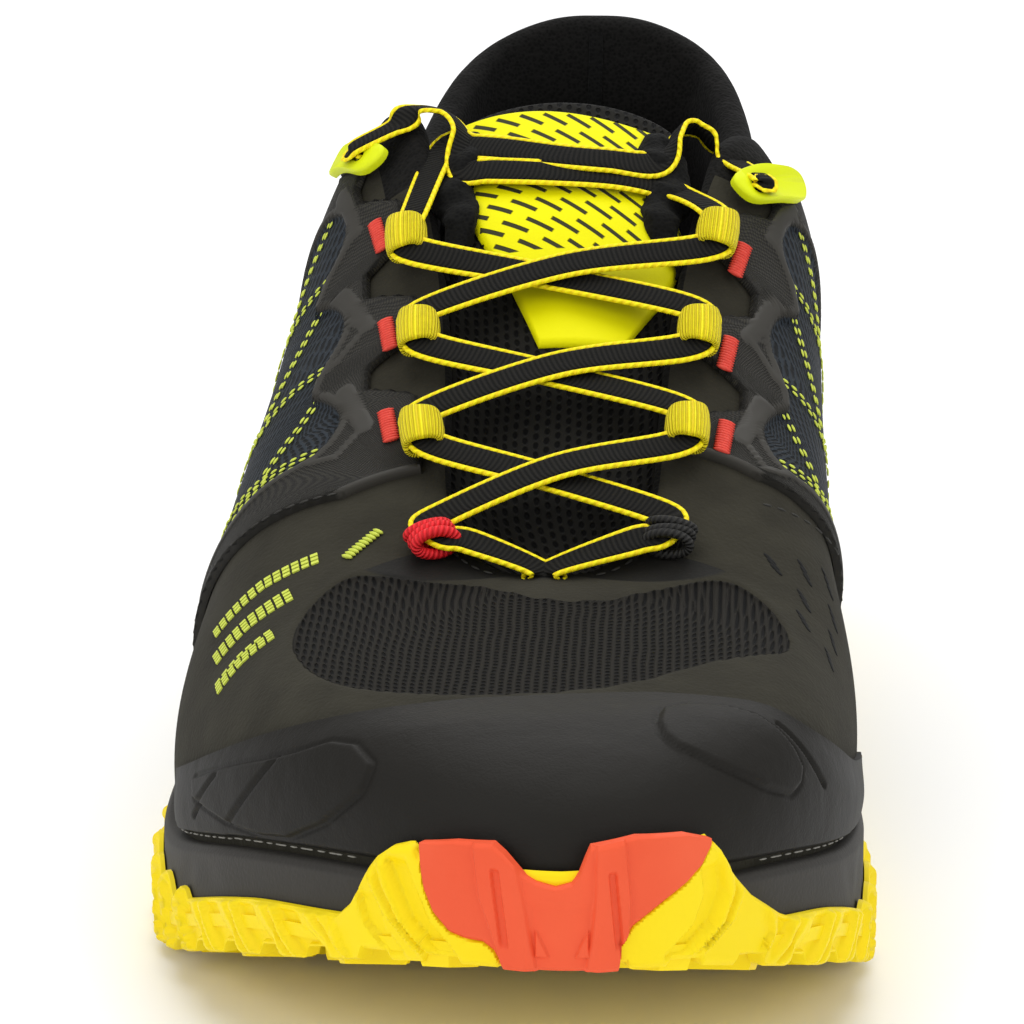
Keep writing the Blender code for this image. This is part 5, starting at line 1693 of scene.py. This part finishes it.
def make_outsole_base():
    """Underside of the outsole between its lugs."""
    half = along_outline(150)[2:-2]
    lateral, medial = outline(half, 1.2 * MM)[0], outline(1 - half, 1.2 * MM)[0]
    share = np.linspace(0, 1, 31)[:, None, None]
    plan = lateral + (medial - lateral) * share
    low = base_height(plan[..., 1])
    outer = np.concatenate([plan, low[..., None]], -1)
    inner = outer + np.array([0, 0, 1.9 * MM])
    return ride(shell("outsole_base", outer, inner, YELLOW, sharp=40), "outsole_yellow")


def lug_outline(kind):
    """Outline of one lug in shares of its cell: blocks at the edge, arrows in the middle."""
    if kind == "edge":
        return np.array([(-0.95, -0.8), (0.75, -0.8), (0.95, 0.0), (0.75, 0.8), (-0.95, 0.8), (-0.75, 0.0)])
    return np.array([(-0.85, -0.35), (0.0, -0.95), (0.85, -0.35), (0.85, 0.75), (0.0, 0.2), (-0.85, 0.75)])


def make_lugs():
    """Arrow lugs down the middle of the sole and blocks along its edges."""
    points, faces, count = [], [], 0
    for row in range(LUG_ROWS):
        share = 0.035 + 0.93 * row / (LUG_ROWS - 1)
        y = float(place_y(share))
        lateral_x = float(outline(np.array([turn_of(share, "lateral")]), 3.2 * MM)[0][0, 0])
        medial_x = float(outline(np.array([turn_of(share, "medial")]), 3.2 * MM)[0][0, 0])
        wide = medial_x - lateral_x
        across = max(3, int(wide / LUG_STEP))
        for n in range(across):
            if row % 2 and n == across - 1 and across > 3:
                continue
            x = lateral_x + wide * (n + 0.5 + (0.5 if row % 2 and across > 3 else 0.0)) / across
            edge = not row % 2 and n in (0, across - 1)
            flat = lug_outline("edge" if edge else "arrow")
            flip = -1 if n == 0 else 1
            half = np.array([wide / across * 0.36 * flip, LUG_LONG / 2])
            top = np.array([x, y]) + flat * half
            low = np.array([x, y]) + flat * half * LUG_TAPER
            floor_z, base_z = ground_height(low[:, 1]), base_height(top[:, 1]) + 0.3 * MM
            mid = np.array([x, y]) + flat * half * (LUG_TAPER + 0.05)
            rings = [raised(top, base_z), raised(mid, floor_z + 0.7 * MM), raised(low, floor_z)]
            tip = np.array([x, y, float(ground_height(y))])
            roof = np.array([x, y, float(base_height(y)) + 0.3 * MM])
            points += [p for ring in rings for p in ring] + [tip, roof]
            for level in range(2):
                for k in range(6):
                    a, b = count + level * 6 + k, count + level * 6 + (k + 1) % 6
                    faces.append((a, b, b + 6, a + 6))
            for k in range(0, 6, 2):
                ring = [count + 12 + (k + m) % 6 for m in range(3)]
                faces.append((ring[0], ring[1], ring[2], count + 18))
                ring = [count + (k + m) % 6 for m in range(3)]
                faces.append((ring[2], ring[1], ring[0], count + 19))
            count += 20
    lugs = make_mesh("outsole_lugs", np.array(points), np.array(faces), YELLOW, sharp=30)
    turn_outwards(lugs)
    return ride(lugs, "outsole_yellow")


def turn_outwards(piece):
    """Recalculate the normals of a piece made of many closed bodies."""
    work = bmesh.new()
    work.from_mesh(piece.data)
    bmesh.ops.recalc_face_normals(work, faces=work.faces[:])
    work.to_mesh(piece.data)
    work.free()


def make_toe_piece():
    """Orange-red toe piece: two humps with a notch between, and a slotted leg down from each."""
    turns = np.linspace(TOE_TOP[0][0], TOE_TOP[-1][0], 300)
    tops = np.interp(turns, [row[0] for row in TOE_TOP], [row[1] for row in TOE_TOP]) * MM
    low = toe_low(turns)
    rows = []
    for share in np.linspace(0, 1, 80):
        height = low + (tops - low) * share
        z = height / MM
        proud = np.zeros_like(z)
        for left, right, slot in TOE_LEGS:
            knots = [row[0] for row in left]
            a = np.interp(z, knots, [row[1] for row in left])
            b = np.interp(z, knots, [row[1] for row in right])
            edge = np.minimum(turns - a, b - turns) * 420
            proud = np.maximum(proud, 0.9 * ease(edge, -0.35, 0.25))
            line = np.interp(z, knots, [row[1] for row in slot])
            inside = ease(z, 29.5, 30.5) * ease(z, 40.6, 39.8)
            proud = proud - 0.85 * ease(np.abs(turns - line) * 420, 0.75, 0.4) * inside
        middle = ease(np.abs(turns - 0.500) * 420, 5.5, 4.2) * ease(z, 36.5, 34.5)
        proud = proud - 0.55 * middle
        for spot, lean in TOE_MARKS:
            beside = (turns - spot) * 420 * lean
            mark = ease(beside, -0.2, 0.1) * ease(beside, 2.0 - (z - 29.0) * 0.55, 1.7 - (z - 29.0) * 0.55)
            proud = proud + 0.7 * mark * ease(z, 28.6, 28.9) * ease(z, 32.4, 31.9)
        round_off = 0.5 * ease(share, 0.95, 1.0) ** 2 + 0.3 * ease(share, 0.04, 0.0)
        inset = (0.72 - 0.7 * proud + round_off) * MM
        rows.append(raised(outline(turns, inset)[0], height))
    outer = np.array(rows)
    inner = np.array([
        raised(outline(turns, 2.0 * MM)[0], low + (tops - low) * share) for share in np.linspace(0, 1, 80)
    ])
    return ride(shell("toe_piece", outer, inner, RED, sharp=40), "outsole_red", "outsole_toe")


def make_insole_pad():
    """Footbed with a soft rounded edge."""
    turns = fine_turns(110)
    inset = UPPER_INSET + UPPER_WALL + 0.9 * MM
    bed = bed_height(turns)
    edge = outline(turns, inset)[0]
    middle = middle_line(turns, inset + 5 * MM)
    rows = [raised(edge, bed + 0.6 * MM)]
    for angle in np.linspace(0, math.pi / 2, 6):
        shrink = 1.4 * MM * (1 - math.cos(angle))
        rows.append(raised(outline(turns, inset + shrink)[0], bed + 2.2 * MM + 1.4 * MM * math.sin(angle)))
    for share in (0.1, 0.3, 0.55, 0.8, 0.97):
        dish = INSOLE_DISH * math.sin(math.pi / 2 * share)
        ring = outline(turns, inset + 1.4 * MM)[0]
        rows.append(raised(ring + (middle - ring) * share, bed + 3.6 * MM - dish))
    inner = [raised(edge + (middle - edge) * share, bed + 0.4 * MM) for share in (0.97, 0.4)]
    rows = np.array(rows)
    pad = shell("insole_pad", rows, np.array(inner), INSOLE, True, None, surface_uv(rows), sharp=60)
    return ride(pad, "insole_fabric", "insole")


def tongue_grid(shares, parts):
    """Outer face of the tongue and the way down from it, at many stations."""
    faces, downs = [], []
    for share in shares:
        faces.append(tongue_points(share, parts))
        downs.append(tongue_down(share, parts))
    return np.array(faces), np.array(downs)


def make_tongue_pad():
    """Padded tongue with a rolled top edge."""
    shares = np.linspace(0.690, 0.370, 90)
    parts = 40
    faces, downs = tongue_grid(shares, parts)
    across = np.linspace(-1, 1, parts + 1)
    blend = 1 - np.abs(across) ** 6
    end = ease((shares - 0.370) * LENGTH / MM, 0, 3.2)[:, None]
    thick = np.sqrt(np.clip(blend, 0.02, 1))[None] * np.sqrt(np.clip(end, 0.04, 1))
    for knot in range(1, parts - 1):
        faces[:, knot] = (faces[:, knot - 1] + 2 * faces[:, knot] + faces[:, knot + 1]) / 4
    middle = faces + downs * 0.5
    outer = middle - downs * 0.5 * thick[..., None]
    inner = middle + downs * 0.5 * thick[..., None]
    front = tongue_front_rows(parts)
    outer = np.concatenate([front[0], outer])
    inner = np.concatenate([front[1], inner])
    pad = shell("tongue_pad", outer, inner, TONGUE, False, None, surface_uv(outer), sharp=60)
    return ride(pad, "tongue_fabric", "tongue")


def tongue_front_rows(parts):
    """Rows that carry the tongue's front end under the vamp."""
    share = TONGUE_STATIONS[0]
    start, end = throat_turn(share, "lateral") + 0.012, throat_turn(share, "medial") - 0.012
    turns = np.linspace(start, end, parts + 1)
    sheets = []
    for thick in (0.0, TONGUE_THICK[-1] * MM):
        rows = []
        for climb in (0.86, 0.91, 0.96, 1.0):
            climbs = np.minimum(climb, 1.0 - 0.06 * np.abs(np.linspace(-1, 1, parts + 1)) ** 12)
            depth = UPPER_WALL + TONGUE_GAP + thick
            rows.append(upper_point(turns, climbs, -np.full(len(turns), depth)))
        sheets.append(np.array(rows))
    return sheets


def read_grid(values, stations, shares, across):
    """Values of a tongue grid between its stations and columns."""
    row = np.interp(shares, stations, np.arange(len(stations)))
    column = (across + 1) / 2 * (values.shape[1] - 1)
    i = np.minimum(row.astype(int), values.shape[0] - 2)
    j = np.minimum(column.astype(int), values.shape[1] - 2)
    a, b = (row - i)[:, None], (column - j)[:, None]
    near = values[i, j] * (1 - b) + values[i, j + 1] * b
    far = values[i + 1, j] * (1 - b) + values[i + 1, j + 1] * b
    return near * (1 - a) + far * a


def make_plate():
    """Bright plate on the tongue, narrowing to a blunt tip below its dashed part."""
    count, parts, across_count = 110, 40, 61
    shares = np.linspace(PLATE_OUTLINE[0][0], PLATE_OUTLINE[-1][0], count)
    knots = [row[0] for row in PLATE_OUTLINE]
    left = np.interp(shares, knots, [row[1] for row in PLATE_OUTLINE])
    right = np.interp(shares, knots, [row[2] for row in PLATE_OUTLINE])
    outer, inner, dashes = [], [], []
    stations = np.linspace(0.376, 0.568, 64)
    faces, downs = tongue_grid(stations, parts)
    for i in range(count):
        wanted = np.linspace(left[i], right[i], across_count)
        skew = 0.010 * ease(wanted, -0.8, 0.6) * ease(shares[i], 0.44, PLATE_OUTLINE[0][0])
        face = read_grid(faces, stations, shares[i] + skew, wanted)
        way = -unit(read_grid(downs, stations, shares[i] + skew, wanted))
        rim = np.minimum((1 - np.abs(np.linspace(-1, 1, across_count))) * 14, min(i, count - 1 - i) * 0.5)
        height = 0.35 + 0.75 * ease(rim, 0, 1.0)
        outer.append(face + way * height[:, None] * MM)
        inner.append(face + way * 0.05 * MM)
        dashes.append(np.full(across_count, ease(shares[i], 0.497, 0.487)))
    outer, inner = np.array(outer), np.array(inner)
    plate = shell(
        "tongue_plate_skin", outer, inner, PLATE, False, {"dashes": np.array(dashes)},
        surface_uv(outer, 30), sharp=60,
    )
    return ride(plate, "neon_plastic", "tongue_plate")


def make_gusset(side):
    """Fold of dark cloth between the tongue's edge and the collar."""
    shares = np.linspace(0.395, 0.50, 70)
    sign = -1 if side == "lateral" else 1
    path, side_way, up_way = [], [], []
    for n, share in enumerate(shares):
        points, down = tongue_points(share, 24), tongue_down(share, 24)
        spots = np.linspace(-1, 1, 25)
        at = 0.80 - 0.06 * math.sin(n * 0.16)
        place = read_line(sign * at, spots, points)
        up = -unit(read_line(sign * at, spots, down))
        swell = math.sin(math.pi * min(1, (n + 3) / 40)) if n < 17 else 1.0
        path.append(place + up * (1.6 + 0.5 * math.sin(n * 0.42)) * MM * max(0.2, swell))
        up_way.append(up)
    path, up_way = np.array(path), np.array(up_way)
    heading = unit(np.gradient(path, axis=0))
    side_way = unit(np.cross(up_way, heading))

    def section(share):
        taper = max(0.12, math.sin(math.pi * min(1, share * 1.6 + 0.05)) ** 0.5 if share < 0.3 else
                    max(0.12, 1 - share**4))
        flat = oval(7.6 * MM * taper, 4.6 * MM * taper, 28, 0.9)
        wrinkle = 1 + 0.10 * np.sin(np.arange(28) * TAU / 7 + share * 21) * math.sin(share * 33)
        return flat * wrinkle[:, None]

    fold = sweep("gusset_" + side, path, side_way, up_way, section, LINING_DARK, sharp=70)
    return ride(fold, "tongue_fabric")


def make_loop(side, number):
    """Webbing loop at the throat's edge: a ribbed strap bent into a ring."""
    share = LOOP_SHARES[number - 1]
    place, across, along, normal = edge_frame(share, side, LOOP_INWARD)
    middle = place + normal * (LOOP_LIFT + LOOP_TALL / 2) + across * LOOP_SKEW
    forward = along if along[1] > 0 else -along
    count, sides = 72, 24
    angles = TAU * np.arange(count) / count
    c, s = np.cos(angles), np.sin(angles)
    x = LOOP_HALF * np.sign(c) * np.abs(c) ** 0.75
    z = (LOOP_TALL / 2 - LOOP_STRAP / 2) * np.sign(s) * np.abs(s) ** 0.72
    path = middle + across * x[:, None] + normal * z[:, None]
    heading = unit(np.roll(path, -1, axis=0) - np.roll(path, 1, axis=0))
    out = unit(np.cross(heading, np.broadcast_to(forward, heading.shape)))
    if np.sum((path[0] - middle) * out[0]) < 0:
        out = -out
    wide = LOOP_LONG * (1.0 - 0.16 * (x / x.max() + 1) / 2)
    flat = oval(1.0, LOOP_STRAP * 0.92, sides, 0.42)
    rows = []
    for i in range(count):
        bow = 0.5 * MM * np.cos(math.pi * flat[:, 0]) * 0.6
        lean = -0.10 * x[i]
        across = forward * (flat[:, :1] * wide[i] + lean)
        rows.append(path[i] + across + out[i] * (flat[:, 1:] + bow[:, None]))
    grid = np.array(rows)
    faces = grid_faces(np.arange(count * sides).reshape(count, sides), True, True)
    girth = np.linspace(0, 1, count + 1)[:, None] * np.ones(sides + 1)
    width = np.ones((count + 1, 1)) * np.linspace(0, 1, sides + 1)
    uv = np.stack([width, girth], -1)
    uv_faces = grid_faces(uv_numbers(count, sides, True, True), False, False)
    loop = make_mesh("webbing_loop_%s_%d" % (side, number), grid, faces, WEBBING, None, uv, uv_faces, 50)
    return ride(loop, "webbing", "lace_loop_%s_%d" % (side, number))


def make_cord_loop(side):
    """Loop of round cord from the throat's foot round the lace."""
    place, across, along, normal = edge_frame(CORD_LOOP_SHARE, side, CORD_LOOP_INWARD)
    middle = place + normal * (CORD_LOOP_LIFT + LOOP_TALL / 2)
    thick = 1.7 * MM if side == "lateral" else 1.4 * MM
    pieces = []
    for n, shift in enumerate((-1.6, 0.3, 2.0)):
        angles = TAU * np.arange(56) / 56
        x = (LOOP_WIDE / 2 - thick / 2 - 0.5 * MM) * np.cos(angles) - 0.8 * MM
        z = (LOOP_TALL / 2 - thick / 2) * np.sin(angles) - 0.15 * MM * n
        lean = shift * MM + 0.6 * MM * np.sin(angles + n * 1.3)
        path = middle + across * x[:, None] + normal * z[:, None] + along * lean[:, None]
        heading = unit(np.roll(path, -1, axis=0) - np.roll(path, 1, axis=0))
        out = unit(np.cross(heading, np.broadcast_to(along, heading.shape)))
        flat = oval(thick, thick, 12)
        grid = path[:, None] + along * flat[None, :, :1] + out[:, None] * flat[None, :, 1:]
        faces = grid_faces(np.arange(56 * 12).reshape(56, 12), True, True)
        turns_uv = np.linspace(0, 1, 13)[None] * np.ones((57, 1))
        run_uv = np.linspace(0, 0.026, 57)[:, None] * np.ones(13)
        uv = np.stack([turns_uv, run_uv], -1)
        uv_faces = grid_faces(uv_numbers(56, 12, True, True), False, False)
        material = RED_CORD if side == "lateral" else BLACK_CORD
        name = "cord_loop_skin_%s_%d" % (side, n + 1)
        pieces.append(make_mesh(name, grid, faces, material, None, uv, uv_faces, 60))
    loop = join("cord_loop_skin_" + side, pieces)
    slot = "red_cord" if side == "lateral" else "lace_fabric"
    return ride(loop, slot, "cord_loop_" + side)


def make_hook(side):
    """Bright moulded hook plate lying on the collar's front, with an opening for the lace."""
    count = 120
    outer_ring, hole_ring = ring_of(HOOK_OUTLINE[side], count), ring_of(HOOK_HOLE[side], count)

    def distance(shift):
        apart = (np.roll(hole_ring, shift, axis=0) - outer_ring) * HOOK_STRETCH
        return np.sum(np.linalg.norm(apart, axis=1))

    hole_ring = np.roll(hole_ring, min(range(count), key=distance), axis=0)
    levels = []
    centre, hole_centre = outer_ring.mean(0), hole_ring.mean(0)
    for shrink, level in ((0.0, 0.0), (0.0, 1.0), (0.02, 1.35), (0.08, 1.6)):
        levels.append((outer_ring + (centre - outer_ring) * shrink, level))
    for grow, level in ((0.25, 1.6), (0.08, 1.45), (0.0, 1.1), (0.0, 0.0)):
        levels.append((hole_ring + (hole_ring - hole_centre) * grow, level))
    grid = np.array([
        upper_point(flat[:, 0], flat[:, 1], HOOK_SEAT + level * MM) for flat, level in levels
    ])
    faces = grid_faces(np.arange(grid.shape[0] * count).reshape(grid.shape[0], count), True, True)
    hook = make_mesh("hook_plate_" + side, grid, faces, HOOK_PLASTIC, sharp=40)
    return ride(hook, "neon_plastic", "top_hook_" + side)


def lace_route(first_side):
    """Route of one lace strand from the throat's foot to its third loop, as places, facings and widths."""
    side = first_side
    stops = []
    turn = 0.4945 if side == "lateral" else 0.5135
    foot_up = upper_normal(turn, 0.96)
    over = 1 if first_side == "lateral" else -1
    hidden = turn + (0.004 if side == "lateral" else -0.004)
    stops.append((upper_point(hidden, 0.985, -1.2 * MM), foot_up, 0.9))
    stops.append((upper_point(turn, 1.0, 1.0 * MM), foot_up, 0.95))
    place, across, along, normal = edge_frame(CORD_LOOP_SHARE, side, CORD_LOOP_INWARD)
    forward = along if along[1] > 0 else -along
    middle = place + normal * (CORD_LOOP_LIFT + LOOP_TALL / 2)
    stops.append((middle - forward * 2.6 * MM + across * 4.2 * MM - normal * 0.2 * MM, normal, 0.95))
    stops.append((middle - forward * 1.0 * MM + across * 0.9 * MM, normal, 0.85))
    stops.append((middle + forward * 2.0 * MM - across * 0.2 * MM, normal, 0.8))
    last = (middle + forward * 4.6 * MM + across * 1.8 * MM, normal)
    for share in LOOP_SHARES:
        other = "medial" if side == "lateral" else "lateral"
        centre, across_2, forward_2, normal_2 = loop_middle(share, other, LOOP_INWARD)
        centre = centre + across_2 * LOOP_SKEW
        entry = centre - forward_2 * 4.6 * MM + across_2 * 2.2 * MM
        stops.append((last[0], last[1], 0.9))
        cross = (last[0] + entry) / 2 + UP * (1.2 * MM + over * 0.9 * MM)
        crown = tongue_crown((last[0] + entry) / 2)
        cross[2] = max(cross[2], crown + (2.5 + 0.9 * over) * MM)
        stops.append((cross, unit(last[1] + normal_2 + UP * 0.6), 1.0))
        stops.append((entry, normal_2, 0.88))
        stops.append((centre - across_2 * 0.3 * MM, normal_2, 0.7))
        last = (centre + forward_2 * 4.6 * MM + across_2 * 1.4 * MM, normal_2)
        side, over = other, -over
    stops.append((last[0], last[1], 0.85))
    return stops, side


def tongue_crown(point):
    """Height of the tongue's middle at the same place along the shoe."""
    share = 0.5 - point[1] / LENGTH
    points = tongue_points(share, 10)
    return float(np.interp(point[0], points[2:9, 0], points[2:9, 2]))


def make_lace(first_side, name, nodes):
    """Flat lace strand: black band with a bright cord along each edge."""
    stops, side = lace_route(first_side)
    other = "medial" if side == "lateral" else "lateral"
    stops += lace_end(side, other)
    places = smooth_path(np.array([np.concatenate([p, n, [w]]) for p, n, w in stops]), LACE_POINTS)
    path, up, width = places[:, :3], unit(places[:, 3:6]), places[:, 6]
    heading = unit(np.gradient(path, axis=0))
    across = unit(np.cross(up, heading))
    up = unit(np.cross(heading, across))
    for _ in range(3):
        across[1:-1] = unit(across[:-2] + 2 * across[1:-1] + across[2:])
        up[1:-1] = unit(up[:-2] + 2 * up[1:-1] + up[2:])
    half = (LACE_BAND - 2 * EDGE_CORD) / 2
    flat = oval(1.0, LACE_THICK * 0.78, 18, 0.5)

    def section(share):
        wide = float(np.interp(share * (LACE_POINTS - 1), np.arange(LACE_POINTS), width))
        return flat * np.array([2 * half * wide, 1.0])

    band = sweep(name, path, across, up, section, LACE, sharp=60)
    edges = []
    for sign in (-1, 1):
        line = path + across * (sign * (half * width + EDGE_CORD * 0.42))[:, None]
        cord = oval(EDGE_CORD, EDGE_CORD * 0.95, 10)
        edges.append(sweep(name + "_edge", line, across, up, lambda t: cord, EDGE, sharp=70))
    ride(band, "lace_fabric", *nodes)
    edge = join(name + "_edges", edges)
    ride(edge, "webbing")
    return band


def lace_end(side, other):
    """From the third loop across the tongue, in an arc beside it and down into the top hook."""
    stops = []
    for share, across, lift in LACE_OVER_TONGUE[side]:
        place, up = on_tongue(share, across, lift)
        stops.append((place, up, 1.0))
    centre = upper_point(*HOOK_MIDDLE[other], 0.0)
    facing = upper_normal(*HOOK_MIDDLE[other])
    for x, y, z in LACE_ARC[other]:
        place = np.array([x, y, z]) * MM
        stops.append((place, unit(unit(place - centre) + UP * 0.5), 0.9))
    stops.append((centre + facing * (HOOK_SEAT + 2.3 * MM), unit(facing + UP * 0.3), 0.7))
    stops.append((centre + facing * (HOOK_SEAT + 0.2 * MM), unit(facing + UP), 0.6))
    return stops


def make_heel_seam():
    """Raised seam down the middle of the heel lining."""
    climbs = np.linspace(0.97, 0.25, 60)
    turns = np.zeros(60)
    path = upper_point(turns, climbs, -(upper_wall(turns, climbs) + 0.1 * MM))
    up = -upper_normal(turns, climbs)
    heading = unit(np.gradient(path, axis=0))
    across = unit(np.cross(up, heading))
    flat = oval(2.6 * MM, 0.9 * MM, 12, 0.8)
    return ride(sweep("heel_seam", path, across, up, lambda t: flat, LINING_DARK, sharp=70), "upper_fabric")


def make_floor():
    mesh = bpy.data.meshes.new("floor")
    corners = [(FLOOR_HALF * x, FLOOR_HALF * y, 0) for x, y in ((-1, -1), (1, -1), (1, 1), (-1, 1))]
    mesh.from_pydata(corners, [], [(0, 1, 2, 3)])
    mesh.materials.append(floor_finish())
    floor = bpy.data.objects.new("floor", mesh)
    bpy.context.scene.collection.objects.link(floor)


def make_light(name, place, aim, size, power, colour=(1, 1, 1)):
    data = bpy.data.lights.new(name, "AREA")
    data.shape = "RECTANGLE"
    data.size, data.size_y = size
    data.energy = power
    data.color = colour
    light = bpy.data.objects.new(name, data)
    light.location = place
    light.rotation_euler = (Vector(aim) - Vector(place)).to_track_quat("-Z", "Y").to_euler()
    bpy.context.scene.collection.objects.link(light)


def make_stage():
    """Floor, soft studio light, pale surroundings and the camera."""
    make_floor()
    make_light("overhead", (0.0, 0.15, 1.35), (0, 0, 0.03), (1.5, 1.2), 12.5)
    make_light("front_left", (-0.9, -1.0, 0.75), (0, 0, 0.05), (0.9, 0.9), 5.5)
    make_light("front_right", (0.95, -0.9, 0.7), (0, 0, 0.05), (0.9, 0.9), 4)
    make_light("behind", (0.2, 1.2, 0.9), (0, 0, 0.08), (1.2, 0.6), 4.5)
    world = bpy.data.worlds.new("Pale room")
    world.use_nodes = True
    backdrop = world.node_tree.nodes["Background"]
    backdrop.inputs["Color"].default_value = (1, 1, 1, 1)
    backdrop.inputs["Strength"].default_value = 0.55
    bpy.context.scene.world = world
    camera_data = bpy.data.cameras.new("camera")
    camera_data.sensor_width = 36
    camera_data.lens = CAMERA_LENS
    camera = bpy.data.objects.new("camera", camera_data)
    camera.location = CAMERA_PLACE
    camera.rotation_euler = (math.radians(90 - CAMERA_PITCH), 0, math.radians(CAMERA_YAW))
    bpy.context.scene.collection.objects.link(camera)
    bpy.context.scene.camera = camera
    bpy.context.scene.view_settings.view_transform = "Standard"


for old in list(bpy.data.objects):
    if old.type in ("LIGHT", "CAMERA"):
        bpy.data.objects.remove(old, do_unlink=True)

THREAD_TREE = thread_tree()
CAP = cap_finish()
FOAM = midsole_finish()
YELLOW = rubber_finish("Yellow outsole rubber", "F0D200", "F8E012")
RED = rubber_finish("Orange-red outsole rubber", "E04E2C", "EE6540")
UPPER = upper_finish()
CAGE = cage_finish()
LINING = make_lining("Soft lining cloth", "050504", "141312")
LINING_DARK = make_lining("Dark folded cloth", "060606", "121211")
TONGUE = padding_finish("Padded tongue mesh", "010101", "1A1916", 0.0016, 0.0020)
INSOLE = padding_finish("Footbed cloth", "141412", "2A2925", 0.0010, 0.0010)
PLATE = plate_finish()
HOOK_PLASTIC = rubber_finish("Bright moulded plastic", "D0DC08", "DEE918")
NEON_THREAD = thread_finish("Bright printed thread", "B9C440", "D2DE58")
RED_THREAD = thread_finish("Red thread", "C93226", "EA5444")
DARK_THREAD = thread_finish("Dark thread", "1E1D1A", "33322D")
PALE_THREAD = thread_finish("Pale glue dashes", "6F6D66", "9A978E")
HOLE = thread_finish("Shade in the slits", "050505", "0A0A09", 0.9)
RED_CORD = cord_finish("Red braided cord", "C40C14", "EC2029")
BLACK_CORD = cord_finish("Black braided cord", "0A0A09", "22211E")
EDGE = cord_finish("Bright edge cord", "F0D400", "FAEA00", 0.0014, 1.0)
LACE = lace_finish()
WEBBING = webbing_finish()

make_stage()
make_upper_skin()
make_toe_cap_skin()
make_heel_counter_skin()
for side in ("lateral", "medial"):
    make_cage_skin(side)
    make_cage_dashes(side)
    make_bartacks(side)
    make_cord_loop(side)
    make_hook(side)
    make_gusset(side)
    for number in (1, 2, 3):
        make_loop(side, number)
make_seam_threads()
make_glue_line()
make_side_bars()
make_vamp_tack()
make_slits()
make_heel_seam()
make_midsole_skin()
make_outsole_wall()
make_outsole_base()
make_lugs()
make_toe_piece()
make_insole_pad()
make_tongue_pad()
make_plate()
make_lace("lateral", "lace_left", ("lace_crossing_1", "lace_crossing_3"))
make_lace("medial", "lace_right", ("lace_crossing_2", "lace_crossing_4"))
